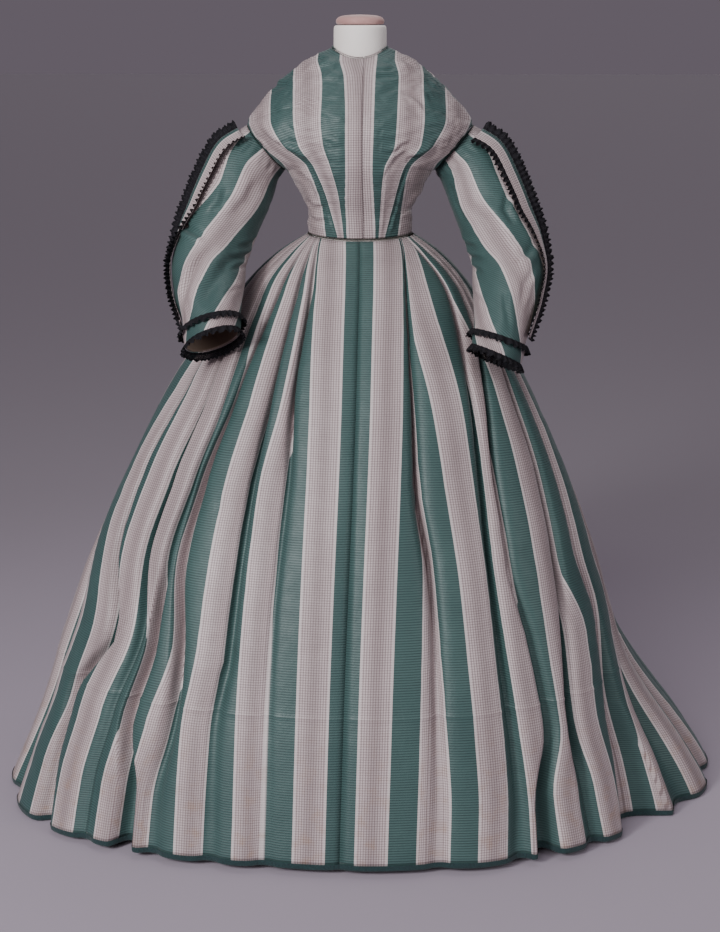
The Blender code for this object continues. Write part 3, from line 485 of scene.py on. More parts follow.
def armhole_point(turn):
    """The distance across, the depth and the height of a point of the armhole."""
    (outer_x, outer_z), (inner_x, inner_z) = ARMHOLE["outer"], ARMHOLE["inner"]
    return (
        (outer_x + inner_x) / 2 + (outer_x - inner_x) / 2 * math.cos(turn),
        ARMHOLE["depth"] * math.sin(turn),
        (outer_z + inner_z) / 2 + (outer_z - inner_z) / 2 * math.cos(turn),
    )


def bodice_row(t):
    """The bodice's measures at a fractional count of its rows."""
    row = measures_at(BODICE_ROWS, range(len(BODICE_ROWS)), t)
    row["edge_y"] = 0.0
    if ARMHOLE_TURN[0][0] <= t <= ARMHOLE_TURN[-1][0]:
        turn = math.radians(smooth_between(ARMHOLE_TURN, t))
        row["edge_x"], row["edge_y"], row["edge_z"] = armhole_point(turn)
    return row


def bodice_point(row, part, across):
    """A point of the bodice: across is 0 at the centre and 1 or -1 at a side edge."""
    power = 2 / BODICE_SQUARE
    angle = math.pi / 2 * abs(across)
    front = part == "front"
    deep = -row["front"] if front else row["back"]
    edge_y = -row["edge_y"] if front else row["edge_y"]
    middle_z = row["front_z"] if front else row["back_z"]
    along = abs(math.cos(angle)) ** power
    return Vector((
        math.copysign(row["edge_x"] * math.sin(angle) ** power, across),
        edge_y + (deep - edge_y) * along,
        middle_z + (row["edge_z"] - middle_z) * math.sin(angle) ** 2,
    ))


def across_at(row, x):
    """Which share across the bodice lies at a distance x from its centre."""
    share = min(abs(x) / row["edge_x"], 1.0) ** (BODICE_SQUARE / 2)
    return math.copysign(math.asin(share) / (math.pi / 2), x)


noise.seed_set(1)         # the same crumples in each run


def crumpled(p, wide, tall, deep):
    """How far crumpled silk stands out at a point: sharp folds between softer swells."""
    spot = Vector((p.x / wide, p.y / wide, p.z / tall))
    spot += 0.6 * noise.noise_vector(p * 11.0)
    return deep * (0.6 * abs(noise.noise(spot)) - 0.35 * abs(noise.noise(spot * 2.3)) - 0.08)


def pushed(rows, creases, outward):
    """A bodice piece with creases and a slight unevenness worked in, held at its edges."""
    around = normals(rows)
    made = []
    for r, (row, line) in enumerate(zip(rows, around)):
        new = []
        for c, (p, n) in enumerate(zip(row, line)):
            inner = min(c, len(row) - 1 - c, r, len(rows) - 1 - r)
            loose = 0.55 + 0.45 * blend(1.12, 1.20, p.z)
            out = CREASE_DEPTH * crease_at((p.x, p.z), creases)
            out += crumpled(p, 0.036, 0.016, 0.0080 * loose)
            out = max(STANDS_OFF + out, DEEPEST_CREASE) * min(1.0, inner / CREASE_EDGE)
            out *= blend(LAP, LAP + EVEN_NEAR_LAP, abs(p.x)) if p.y < 0 else 1.0
            new.append(p + n * out * outward)
        made.append(new)
    return made


def front_cloth(p, side):
    """Across which part of the striped silk a point of a front lies."""
    edges = list(accumulate(columns_at(FRONT_STRIPES[side], p.z)))
    x = side * p.x
    stops = list(zip(edges, STRIPE_EDGES))
    if x < edges[0]:
        return GREEN_HALF + (edges[0] - x)
    for (x0, u0), (x1, u1) in zip(stops, stops[1:]):
        if x <= x1:
            return u0 + (u1 - u0) * (x - x0) / (x1 - x0)
    return STRIPE_EDGES[-1] - SIDE_CLOTH * (x - edges[-1])


steps = 9 * ROW_STEPS
levels = [bodice_row(9 - i / ROW_STEPS) for i in range(steps + 1)]
for side, word in ((-1, "right"), (1, "left")):
    rows = []
    for row in levels:
        first = across_at(row, LAP if side < 0 else LAP - LAP_REACH)
        reach = side - first
        stops = [first + reach * i / FRONT_COLUMNS for i in range(FRONT_COLUMNS + 1)]
        rows.append([bodice_point(row, "front", across) for across in stops])
    rows = pushed(rows, FRONT_CREASES, 1 if side > 0 else -1)
    if side > 0:
        for row in rows:
            for p in row:
                p.y += UNDERLAP * (1 - blend(LAP - 0.001, LAP + 0.010, p.x))
    far = row_lengths(rows)
    cloth = [[(front_cloth(p, side), BODICE_CLOTH - far[r]) for p in row] for r, row in enumerate(rows)]
    piece = sewn("bodice_front_" + word + "_silk", rows, cloth, flip=side < 0)
    dress(piece, "striped_silk", ["bodice_front_" + word], silk, lining)

stops = [1 - 2 * i / BACK_COLUMNS for i in range(BACK_COLUMNS + 1)]
even = [[bodice_point(row, "back", across) for across in stops] for row in levels]
rows = pushed(even, BACK_CREASES, 1)
far = row_lengths(rows)
cloth = [[(p.x + STRIPE / 2, BODICE_CLOTH - far[r]) for p in line] for r, line in enumerate(even)]
piece = sewn("bodice_back_silk", rows, cloth)
dress(piece, "striped_silk", ["bodice_back"], silk, lining)


def tube(name, points, radius, ring=True, around=10, across=None):
    """A covered cord through points, with its cloth coordinates."""
    rows = []
    count = len(points)
    for i, p in enumerate(points):
        before = points[i - 1] if ring or i > 0 else p
        after = points[(i + 1) % count] if ring or i < count - 1 else p
        along = (after - before).normalized()
        side = along.cross(Vector((0.0, 0.0, 1.0)))
        side = (side if side.length > 0.05 else along.cross(Vector((0.0, 1.0, 0.0)))).normalized()
        other = along.cross(side)
        angles = [2 * math.pi * k / around for k in range(around)]
        rows.append([p + (side * math.cos(a) + other * math.sin(a)) * radius for a in angles])
    if ring:
        rows.append(rows[0])
    cloth = []
    for i, u in enumerate(across or [0.0] * len(rows)):
        cloth.append([(u + 0.01 * k / around, 0.004 * i) for k in range(around + 1)])
    return woven_mesh(name, rows, cloth, ring=True)


CORD = 0.0014             # the radius of a solid's cord
THIN_CORD = 0.0009        # the waist's and the neck's, as they look
ARMHOLE_CORD = 0.0007
ARMHOLE_CORD_OUT = 0.0029
WAIST = 0.998
WAIST_DIP = 0.004
WAIST_RING = dict(side=0.0932, front=0.0853, back=0.0873)
NECK_RING = dict(side=0.04875, deep=0.05075, over=0.0020, begins=11.8, ends=369.0)


def waist_dip(y, height):
    """How far the waist seam hangs below its height at the sides."""
    front = min(max(-y / 0.0880, 0.0), 1.0)
    return WAIST_DIP * front**2 * blend(0.93, WAIST - 0.002, height)


points = []
for i in range(120):
    angle = 2 * math.pi * i / 120
    y = -WAIST_RING["front" if math.cos(angle) > 0 else "back"] * math.cos(angle)
    points.append(Vector((WAIST_RING["side"] * math.sin(angle), y, WAIST - waist_dip(y, WAIST))))
# The waist piping is coloured near black. This is partly the piping's own dark olive and partly painted
# shade, standing in for the shadow along the waist seam.
piping_silk_painted_shade, start, shader = finish("dark_piping_silk_painted_shade", Roughness=0.6)
cord_wear = speckle(start, 120.0, 3.0)
cord_wear.rise(0.3, 0.7).mix((0.012, 0.016, 0.013), (0.040, 0.034, 0.024)).into(shader, "Base Color")
cord_wear.raised(shader, 0.0004)
piece = tube("waist_piping_silk", points, THIN_CORD)
dress(piece, "striped_silk", ["waist_piping"], piping_silk_painted_shade)

points = []
top = BODICE_ROWS[-1]
for i in range(97):
    angle = math.radians(NECK_RING["begins"] + (NECK_RING["ends"] - NECK_RING["begins"]) * i / 96)
    middle = top["front_z"] if math.cos(angle) > 0 else top["back_z"]
    z = middle + (top["edge_z"] - middle) * math.sin(angle) ** 2 + NECK_RING["over"]
    points.append(Vector((NECK_RING["side"] * math.sin(angle), -NECK_RING["deep"] * math.cos(angle), z)))
across = [front_cloth(p, 1 if p.x > 0 else -1) if p.y < 0 else p.x + STRIPE / 2 for p in points]
piece = tube("neck_piping_silk", points, THIN_CORD, ring=False, across=across)
dress(piece, "striped_silk", ["neck_piping"], silk)


# The sleeves are set in at dropped armholes with a piping. They are full to the elbow and bend
# forward to the wrist. The silk is cut so that its stripes run down and outwards.

SLEEVE_MEASURES = "outer_x outer_z inner_x inner_z y depth lean band"
UPPER_SLEEVE = table(
    SLEEVE_MEASURES,
    (
        (0.2005, 1.1870, 0.1335, 1.1090, 0.000, 0.0505, 0, 30),
        (0.2480, 1.1600, 0.1450, 1.0900, -0.004, 0.066, 0, 32),
        (0.2780, 1.1110, 0.1577, 1.0563, -0.012, 0.076, 0, 34),
        (0.3000, 1.0563, 0.1753, 1.0133, -0.028, 0.081, 3, 33),
        (0.3180, 0.9980, 0.1915, 0.9700, -0.056, 0.081, 8, 20),
    ),
)
LOWER_SLEEVE = {
    -1: table(
        SLEEVE_MEASURES,
        (
            (0.3265, 0.9500, 0.1975, 0.9440, -0.096, 0.076, 14, 10),
            (0.3180, 0.9060, 0.1955, 0.9150, -0.140, 0.067, 20, 6),
            (0.2970, 0.8600, 0.1960, 0.8860, -0.186, 0.058, 25, 4),
            (0.2860, 0.8240, 0.1960, 0.8560, -0.216, 0.050, 28, 4),
        ),
    ),
    1: table(
        SLEEVE_MEASURES,
        (
            (0.3265, 0.9490, 0.2000, 0.9430, -0.098, 0.076, 13, 10),
            (0.3165, 0.9000, 0.2010, 0.9090, -0.144, 0.066, 14, 6),
            (0.2950, 0.8420, 0.2020, 0.8690, -0.190, 0.056, 13, 4),
            (0.2800, 0.8020, 0.2020, 0.8360, -0.220, 0.049, 12, 4),
        ),
    ),
}
SLEEVE_END = 8            # the last section
SLEEVE_AROUND = 96
SLEEVE_STEPS = 12         # rows from one section to the next
SLEEVE_CLOTH = -1.2       # where its cloth begins down the length of the silk
SLEEVE_ARC = 0.9          # its arc to a radian, as a share of its depth
WEFT_LEAN = 0.45          # how far its weft climbs to each metre round it

# How the stripes run round each sleeve, in degrees from its outermost line towards the front:
# at a count of sections, the middle of one green stripe, its width and the next cream's width.
SLEEVE_STRIPES = {
    -1: ((0, 65, 45, 60), (2, 80, 25, 50), (4, 50, 45, 45), (6, 15, 60, 40), (8, -35, 50, 35)),
    1: ((0, 70, 45, 25), (2, 80, 35, 35), (4, 60, 25, 50), (6, 15, 40, 50), (8, -50, 45, 45)),
}
NEXT_GREEN = 55
SLEEVE_EDGES = (-GREEN_HALF, GREEN_HALF, STRIPE - GREEN_HALF, STRIPE + GREEN_HALF)

# Creases round each sleeve, by degrees from its outermost line and by sections down it.
ARMHOLE_PUCKERS = tuple(
    (0.0040, 0.0020, (a, 0.04), (a + 5, 0.35), (a + 7, 0.8)) for a in range(50, 200, 17)
)
INNER_CREASES = (
    (0.0060, 0.0040, (184, 3.5), (160, 3.75), (136, 3.9)),
    (0.0070, 0.0045, (184, 4.1), (156, 4.35), (128, 4.55)),
    (0.0060, 0.0035, (182, 4.8), (156, 5.0), (134, 5.3)),
    (0.0050, 0.0026, (170, 6.0), (146, 6.2), (124, 6.6)),
    (0.0070, 0.0040, (-60, 3.4), (-100, 3.9), (-140, 4.0)),
    (0.0070, 0.0036, (-50, 4.4), (-85, 4.7), (-120, 5.2)),
)
SLEEVE_CREASES = {
    -1: (
        (0.0060, 0.0070, (8, 3.45), (45, 3.75), (88, 3.85)),
        (0.0060, 0.0060, (98, 4.2), (84, 5.0), (60, 6.0), (40, 6.7)),
        (0.0130, 0.0050, (142, 4.3), (126, 5.2), (104, 6.1), (80, 7.0)),
        (0.0100, 0.0040, (120, 1.2), (118, 2.2), (104, 3.2)),
        (0.0060, 0.0035, (80, 2.0), (86, 2.7), (70, 3.2)),
        (0.0050, 0.0026, (60, 6.4), (50, 6.9), (46, 7.2)),
    ),
    1: (
        (0.0130, 0.0065, (114, 2.3), (104, 3.2), (92, 4.6), (70, 5.8)),
        (0.0055, 0.0065, (58, 2.4), (72, 2.9), (66, 3.5)),
        (0.0080, 0.0040, (36, 4.1), (62, 4.6), (84, 4.5)),
        (0.0070, 0.0040, (140, 1.2), (146, 2.0), (140, 3.0)),
        (0.0070, 0.0035, (50, 5.1), (64, 5.7), (62, 6.4)),
        (0.0060, 0.0030, (100, 5.8), (90, 6.4), (72, 7.1)),
    ),
}


def sleeve_at(side, t):
    """The measures of one sleeve at a fractional count of its sections."""
    sections = UPPER_SLEEVE + LOWER_SLEEVE[side]
    return measures_at(sections, range(len(sections)), t)


def sleeve_ring(side, t, angles):
    """Points round a sleeve at a fractional count of its sections."""
    s = sleeve_at(side, t)
    outer = Vector((s["outer_x"], s["y"], s["outer_z"]))
    inner = Vector((s["inner_x"], s["y"], s["inner_z"]))
    lean = math.radians(s["lean"])
    front = Vector((0.0, -math.cos(lean), math.sin(lean))) * s["depth"]
    reach = (outer - inner) / 2
    ring = [(outer + inner) / 2 + reach * math.cos(a) + front * math.sin(a) for a in angles]
    return [Vector((side * p.x, p.y, p.z)) for p in ring]


def around_sleeve(side, t, angles, out=0.0):
    """Points just outside a sleeve's even surface, with the way out there."""
    ring = sleeve_ring(side, t, angles)
    ahead = sleeve_ring(side, min(t + 0.02, SLEEVE_END), angles)
    behind = sleeve_ring(side, max(t - 0.02, 0.0), angles)
    near = sleeve_ring(side, t, [a + 0.01 for a in angles])
    found = []
    for p, a, b, q in zip(ring, ahead, behind, near):
        n = (q - p).cross(a - b).normalized() * side
        found.append((p + n * out, n))
    return found


def sleeve_place(side, t, angle, radius, down):
    """Across which part of the striped silk a point of a sleeve lies, and how far down it."""
    degrees = math.degrees(angle)
    middle, green, cream = columns_at(SLEEVE_STRIPES[side], t)
    edge = middle + green / 2
    stops = list(zip((middle - green / 2, edge, edge + cream, edge + cream + NEXT_GREEN), SLEEVE_EDGES))
    if stops[0][0] < degrees < stops[-1][0]:
        a, b = next((a, b) for a, b in zip(stops, stops[1:]) if degrees <= b[0])
        across = a[1] + (b[1] - a[1]) * (degrees - a[0]) / (b[0] - a[0])
    else:
        end, u = stops[0] if degrees <= stops[0][0] else stops[-1]
        across = u + math.radians(degrees - end) * radius * SLEEVE_ARC
    lean = WEFT_LEAN * math.radians(degrees - 90) * radius
    return (side * -across, SLEEVE_CLOTH - down - lean)


def unrolled(degrees, t):
    """A place on a sleeve laid flat, roughly in metres."""
    return (0.0012 * degrees, 0.05 * t)


full_turn = [2 * math.pi * i / SLEEVE_AROUND - math.pi / 2 for i in range(SLEEVE_AROUND + 1)]

lace, start, shader = finish("black_lace", Roughness=0.85, Specular_IOR_Level=0.25)
threads = speckle(start, 260.0, 3.0)
threads.rise(0.3, 0.7).mix((0.0025, 0.002, 0.0035), (0.009, 0.008, 0.012)).into(shader, "Base Color")
place = start.node("UVMap", {"uv_map": "cloth"})
across = start.node("SeparateXYZ", (), {0: place})
along = start.node("SeparateXYZ", (), {0: place}, 1)
net = across.fold(0.0024).rise(0.00082, 0.00096) * along.fold(0.0024).rise(0.00082, 0.00096)
netted = along.rise(0.0050, 0.0056) * (1.0 - along.rise(0.0110, 0.0116))
(1.0 - net * netted * 0.6).into(shader, "Alpha")
threads.raised(shader, 0.0006)


RUFFLE_STEPS = 14         # columns to a wave
RUFFLE_ROWS = 7
BAND_LACE = dict(waves=42, tall=0.0185, swing=0.0027)
CUFF_LACE = dict(waves=28, tall=0.0160, swing=0.0030)


def ruffle(name, foot, leaning, phase, waves, tall, swing, ring=False):
    """Gathered lace on a line of points. It waves from side to side and has a scalloped edge."""
    knots = foot + foot[:1] if ring else foot
    leans = leaning + leaning[:1] if ring else leaning
    far = [0.0]
    for a, b in zip(knots, knots[1:]):
        far.append(far[-1] + (b - a).length)
    count = waves * RUFFLE_STEPS
    rows = [[] for _ in range(RUFFLE_ROWS)]
    cloth = [[] for _ in range(RUFFLE_ROWS)]
    for k in range(count if ring else count + 1):
        distance = far[-1] * k / count
        i = next((j for j in range(len(far) - 1) if far[j + 1] > distance), len(far) - 2)
        t = (distance - far[i]) / (far[i + 1] - far[i])
        base = knots[i].lerp(knots[i + 1], t)
        lean = leans[i].lerp(leans[i + 1], t).normalized()
        sideways = lean.cross(knots[i + 1] - knots[i]).normalized()
        turn = 2 * math.pi * distance / far[-1]
        swell = math.sin(waves * turn + 1.1 * math.sin(7 * turn + phase) + 0.7 * math.sin(3 * turn))
        uneven = 1 + 0.16 * noise.noise(Vector((70 * distance, phase, 0.0)))
        scallop = 1 - 0.20 * (1 - abs(math.sin(0.95 * waves * turn)) ** 0.7)
        for level in range(RUFFLE_ROWS):
            share = level / (RUFFLE_ROWS - 1)
            high = tall * share * uneven * (1 - share + share * scallop)
            out = swing * swell * (0.12 + 0.88 * share**0.8)
            rows[-1 - level].append(base + lean * high + sideways * out)
            cloth[-1 - level].append((2.0 * distance, tall * share))
    if ring:
        for line in cloth:
            line.append((2.0 * far[-1], line[0][1]))
    return woven_mesh(name, rows, cloth, ring=ring)


BAND_WIDTH = 0.037
BAND_FROM = 0.30          # the sections where the band begins and ends, and the cuff begins
BAND_TO = 7.0
CUFF_FROM = 7.3
BAND_ROWS = 60
CUFF_ROWS = 10
BAND_CLOTH = -2.0         # where the band's cloth begins down the length of the silk
BAND_OUT = 0.0040         # from the sleeve's even face to the band's
CUFF_OUT = 0.0026


def band_angles(side, t):
    """The band's angles round the sleeve, from its back edge to its front edge."""
    middle = math.radians(sleeve_at(side, t)["band"])
    a, b = sleeve_ring(side, t, [middle - 0.02, middle + 0.02])
    half = BAND_WIDTH / 2 / ((b - a).length / 0.04)
    return [middle + half * k / 3 for k in range(-3, 4)]


for side, word in ((-1, "right"), (1, "left")):
    flip = side > 0
    creases = []
    for width, deep, *path in ARMHOLE_PUCKERS + INNER_CREASES + SLEEVE_CREASES[side]:
        creases.append((width, deep, *[unrolled(*spot) for spot in path]))
    rows = []
    cloth = []
    down = 0.0
    before = None
    last = SLEEVE_END * SLEEVE_STEPS
    for r in range(last + 1):
        t = r / SLEEVE_STEPS
        radius = sleeve_at(side, t)["depth"]
        line = around_sleeve(side, t, full_turn[:-1])
        middle = line[SLEEVE_AROUND // 2][0]
        down += (middle - before).length if before else 0.0
        before = middle
        held = min(1.0, r / 5, (last - r) / 8)
        new = []
        for angle, (p, n) in zip(full_turn, line):
            out = crease_at(unrolled(math.degrees(angle), t), creases)
            out += 0.0030 * noise.noise(p * 14.0) + crumpled(p, 0.045, 0.040, 0.0030)
            new.append(p + n * out * held)
        rows.append(new)
        cloth.append([sleeve_place(side, t, angle, radius, down) for angle in full_turn])
    piece = sewn("sleeve_" + word + "_silk", rows, cloth, ring=True, flip=flip)
    dress(piece, "striped_silk", ["sleeve_front_" + word, "sleeve_back_" + word], silk, lining)

    (outer_x, outer_z), (inner_x, inner_z) = ARMHOLE["outer"], ARMHOLE["inner"]
    axis = Vector((outer_z - inner_z, 0.0, inner_x - outer_x)).normalized() * ARMHOLE_CORD_OUT
    points = []
    for i in range(72):
        x, y, z = armhole_point(2 * math.pi * i / 72)
        points.append(Vector((side * (x + axis.x), -y, z + axis.z)))
    piece = tube("armhole_piping_" + word + "_silk", points, ARMHOLE_CORD)
    dress(piece, "striped_silk", ["armhole_piping_" + word], green_silk)

    stops = [BAND_FROM + (BAND_TO - BAND_FROM) * i / BAND_ROWS for i in range(BAND_ROWS + 1)]
    lines = [around_sleeve(side, t, band_angles(side, t), BAND_OUT) for t in stops]
    rows = [[p for p, _ in line] for line in lines]
    cloth = [[(0.010 + 0.006 * k, BAND_CLOTH - far) for k in range(7)] for far in row_lengths(rows)]
    piece = sewn("sleeve_band_" + word + "_silk", rows, cloth, flip=flip)
    dress(piece, "striped_silk", ["sleeve_band_" + word], silk, lining)
    for edge, step, where in ((0, 1, "back"), (6, -1, "front")):
        foot = [line[edge][0] for line in lines]
        away = [line[edge][0] - line[edge + step][0] for line in lines]
        rise = 0.22 if flip and where == "front" else 0.66
        lean = [line[edge][1] * rise + a.normalized() * (1.4 - rise) for line, a in zip(lines, away)]
        name = "band_lace_" + where + "_" + word
        trim = ruffle(name + "_ruffle", foot, lean, edge + side, **BAND_LACE)
        dress(trim, "black_lace", [name], lace)

    stops = [CUFF_FROM + (SLEEVE_END - CUFF_FROM) * i / CUFF_ROWS for i in range(CUFF_ROWS + 1)]
    lines = [around_sleeve(side, t, full_turn[:-1], CUFF_OUT) for t in stops]
    rows = [[p for p, _ in line] for line in lines]
    cloth = []
    for r, t in enumerate(stops):
        radius = sleeve_at(side, t)["depth"]
        cloth.append([sleeve_place(side, t, angle, radius, down + 0.004 * r) for angle in full_turn])
    piece = sewn("cuff_" + word + "_silk", rows, cloth, ring=True, flip=flip)
    dress(piece, "green_silk", ["cuff_" + word], silk, lining)
    for row, out, where in ((0, 0.0016, "top"), (CUFF_ROWS, 0.0006, "edge")):
        foot = [p + n * out for p, n in lines[row]]
        fall = [low[0] - top[0] for top, low in zip(lines[0], lines[-1])]
        lean = [n * 0.45 + d.normalized() * 0.89 for (_, n), d in zip(lines[row], fall)]
        name = "cuff_lace_" + where + "_" + word
        trim = ruffle(name + "_ruffle", foot, lean, row + side, ring=True, **CUFF_LACE)
        dress(trim, "black_lace", [name], lace)


# The skirt is nine breadths of the silk, sewn selvedge to selvedge and pleated into the waist.
# Hoops once held it out. Its hem is level in front and trails behind.

SKIRT_SECTIONS = table(
    "height right left front back middle square drift",
    (
        (0.000, 0.6480, 0.5750, 0.5180, 0.8400, -0.040, 2.50, -0.010),
        (0.150, 0.5830, 0.5200, 0.4940, 0.7100, -0.060, 2.40, -0.007),
        (0.310, 0.5300, 0.4680, 0.4480, 0.6150, -0.080, 2.30, -0.004),
        (0.470, 0.4680, 0.4170, 0.3900, 0.5350, -0.090, 2.20, 0.000),
        (0.620, 0.3960, 0.3580, 0.3260, 0.4500, -0.080, 2.15, 0.004),
        (0.750, 0.3290, 0.2940, 0.2640, 0.3700, -0.055, 2.10, 0.006),
        (0.850, 0.2520, 0.2320, 0.2020, 0.2900, -0.030, 2.05, 0.006),
        (0.905, 0.2060, 0.1980, 0.1640, 0.2300, -0.015, 2.00, 0.006),
        (0.948, 0.1660, 0.1610, 0.1270, 0.1700, -0.005, 2.00, 0.005),
        (0.975, 0.1300, 0.1300, 0.1020, 0.1240, 0.000, 2.00, 0.004),
        (0.996, 0.0950, 0.0960, 0.0880, 0.0900, 0.000, 2.00, 0.003),
    ),
)
BREADTH = 5 * STRIPE
HALF_CLOTH = 9 * BREADTH / 2
SEAMS = [BREADTH * n for n in range(1, 5)]
MARKS = (0.0, 0.10, 0.22, 0.35, 0.48, 0.60, 0.75, 0.906, 0.996)

# The front pleats: where along the cloth, from the centre front, the middle of the hidden
# cloth lies, and how much cloth the pleat hides there, at each marked height.
FRONT_PLEATS = table(
    "side middles hides",
    (
        ("left", (0.165, 0.165, 0.165, 0.165, 0.160, 0.145, 0.150, 0.165, 0.172),
         (0.002, 0.003, 0.013, 0.030, 0.050, 0.075, 0.107, 0.160, 0.184)),
        ("left", (0.312, 0.312, 0.312, 0.312, 0.312, 0.318, 0.325, 0.358, 0.330),
         (0.008, 0.014, 0.024, 0.034, 0.040, 0.036, 0.030, 0.056, 0.104)),
        ("left", (0.390, 0.392, 0.408, 0.400, 0.378, 0.378, 0.395, 0.440, 0.421),
         (0.045, 0.054, 0.020, 0.020, 0.022, 0.030, 0.045, 0.038, 0.050)),
        ("left", (0.515, 0.515, 0.503, 0.515, 0.5425, 0.5425, 0.538, 0.530, 0.515),
         (0.010, 0.015, 0.069, 0.060, 0.103, 0.102, 0.110, 0.108, 0.110)),
        ("left", (0.680, 0.680, 0.678, 0.672, 0.668, 0.664, 0.658, 0.655, 0.652),
         (0.060, 0.055, 0.042, 0.032, 0.024, 0.030, 0.042, 0.090, 0.136)),
        ("right", (0.127, 0.127, 0.127, 0.127, 0.125, 0.122, 0.138, 0.130, 0.125),
         (0.002, 0.002, 0.002, 0.004, 0.010, 0.020, 0.056, 0.082, 0.091)),
        ("right", (0.224, 0.224, 0.224, 0.216, 0.216, 0.218, 0.228, 0.230, 0.224),
         (0.003, 0.004, 0.008, 0.028, 0.034, 0.042, 0.049, 0.066, 0.088)),
        ("right", (0.330, 0.330, 0.325, 0.350, 0.360, 0.360, 0.352, 0.335, 0.330),
         (0.004, 0.008, 0.036, 0.056, 0.040, 0.058, 0.070, 0.070, 0.098)),
        ("right", (0.412, 0.412, 0.455, 0.455, 0.425, 0.425, 0.425, 0.425, 0.423),
         (0.046, 0.050, 0.050, 0.050, 0.034, 0.034, 0.034, 0.034, 0.058)),
        ("right", (0.515, 0.515, 0.515, 0.515, 0.515, 0.515, 0.515, 0.515, 0.515),
         (0.003, 0.003, 0.004, 0.018, 0.048, 0.050, 0.066, 0.080, 0.100)),
        ("right", (0.640, 0.650, 0.668, 0.620, 0.640, 0.640, 0.640, 0.650, 0.660),
         (0.030, 0.030, 0.050, 0.056, 0.040, 0.030, 0.060, 0.110, 0.150)),
    ),
)
FRONT_OPENINGS = (0.0450, 0.0360, 0.0280, 0.0220, 0.0160, 0.0130, 0.0100, 0.0080, 0.0040)
BACK_OPENINGS = (0.0720, 0.0600, 0.0500, 0.0380, 0.0280, 0.0200, 0.0140, 0.0090, 0.0040)
DEEPEST = (0.0500, 0.0380, 0.0340, 0.0350, 0.0360, 0.0340, 0.0280, 0.0170, 0.0026)
TRAIN = dict(middle=0.98, reach=0.36, fade=0.80, top=0.29, push=0.088)
PANEL_STEPS = 10
WALL_STEPS = 4
FLOOR_STEPS = 2


def at_mark(values, height):
    return smooth_between(list(zip(MARKS, values)), height)


def back_pleats():
    """The middle and the cloth of each pleat from the side to the centre back."""
    found = []
    begin = 0.745
    for number in range(2, 6):
        end = min(number * BREADTH, HALF_CLOTH)
        count = 2 if number == 2 else round(4 * (end - begin) / BREADTH)
        share = (end - begin - 0.005) / count
        found += [(begin + 0.0025 + (i + 0.5) * share, share) for i in range(count)]
        begin = end
    return found


def half_ring(height, side):
    """The ring from the centre front to the centre back, as points with their distances."""
    ring = measures_at(SKIRT_SECTIONS, [r["height"] for r in SKIRT_SECTIONS], height)
    power = 2 / ring["square"]
    points = []
    for i in range(161):
        angle = math.pi * i / 160
        across = abs(math.sin(angle)) ** power
        along = abs(math.cos(angle)) ** power
        depth = -ring["front"] - ring["middle"] if i <= 80 else ring["back"] - ring["middle"]
        drift = ring["drift"] * along if i <= 80 else 0.0
        x = (ring["left"] if side > 0 else -ring["right"]) * across + drift
        points.append(Vector((x, ring["middle"] + depth * along, height)))
    far = [0.0]
    for a, b in zip(points, points[1:]):
        far.append(far[-1] + (b - a).length)
    return points, far


def pleats_at(height, side, far):
    """Each pleat of one side at a height: its middle, hidden cloth and opening."""
    word = "left" if side > 0 else "right"
    found = []
    for number, pleat in enumerate(p for p in FRONT_PLEATS if p["side"] == word):
        opening = at_mark(FRONT_OPENINGS, height)
        if side > 0 and number == 4:
            opening *= 1 + 1.7 * (1 - blend(0.0, 0.4, height))
        found.append((at_mark(pleat["middles"], height), at_mark(pleat["hides"], height), opening))
    left_over = max(HALF_CLOTH - far - sum(hides for _, hides, _ in found), 0.0)
    back = back_pleats()
    low = 1 - blend(0.80, 0.97, height)
    for number, (middle, share) in enumerate(back):
        hides = left_over * share / sum(s for _, s in back)
        hides *= 1 + 0.20 * low * math.sin(2.4 * number + 5 * height)
        opening = at_mark(BACK_OPENINGS, height) * (1 + low * 0.18 * (math.sin(1.7 * number + 1) - 0.8))
        found.append((middle, hides, opening))
    return found


def turning_points(height, side, far):
    """Where the cloth turns: its place on the cloth, its place on the ring and its depth."""
    turns = [(0.0, 0.0, 0.0)]
    cloth = ring = 0.0
    for middle, hides, opening in pleats_at(height, side, far):
        used = hides + opening
        begin = middle - used / 2
        depth = min(math.sqrt((used / 2) ** 2 - (opening / 2) ** 2), at_mark(DEEPEST, height))
        flat = min(max(0.36 * opening, 0.0020), 0.8 * opening)
        inside = [s - begin for s in SEAMS if begin < s < begin + used]
        turn = inside[0] if inside else used / 2
        ring += begin - cloth
        floor = (opening - flat) / 2
        turns += [
            (begin, ring, 0.0),
            (begin + turn - 0.02 * used, ring + floor, depth),
            (begin + turn + 0.02 * used, ring + floor + flat, depth),
            (begin + used, ring + opening, 0.0),
        ]
        cloth = begin + used
        ring += opening
    turns.append((HALF_CLOTH, ring + HALF_CLOTH - cloth, 0.0))
    return turns


def fine_columns(turns):
    """The turning points with even steps between them, which swell outwards on a panel."""
    full = [turns[0]]
    for a, b in zip(turns, turns[1:]):
        panel = a[2] == b[2] == 0
        count = PANEL_STEPS if panel else FLOOR_STEPS if a[2] == b[2] else WALL_STEPS
        stops = [a[0] + (b[0] - a[0]) * (k + 1) / count for k in range(count)]
        inside = [s for s in SEAMS if a[0] < s < b[0]]
        if inside:
            half = count // 2
            rest = count - half
            stops = [a[0] + (inside[0] - a[0]) * (k + 1) / half for k in range(half)]
            stops += [inside[0] + (b[0] - inside[0]) * (k + 1) / rest for k in range(rest)]
            stops[half - 1] = inside[0]
        stops[-1] = b[0]
        for stop in stops:
            t = (stop - a[0]) / (b[0] - a[0])
            part = (1 + t) / 2 if a[0] == 0 else t / 2 if b[0] == HALF_CLOTH else t
            swell = 4 * part * (1 - part) * 0.045 * (b[1] - a[1]) if panel else 0.0
            full.append((stop, a[1] + t * (b[1] - a[1]), a[2] + t * (b[2] - a[2]) - swell))
    return full


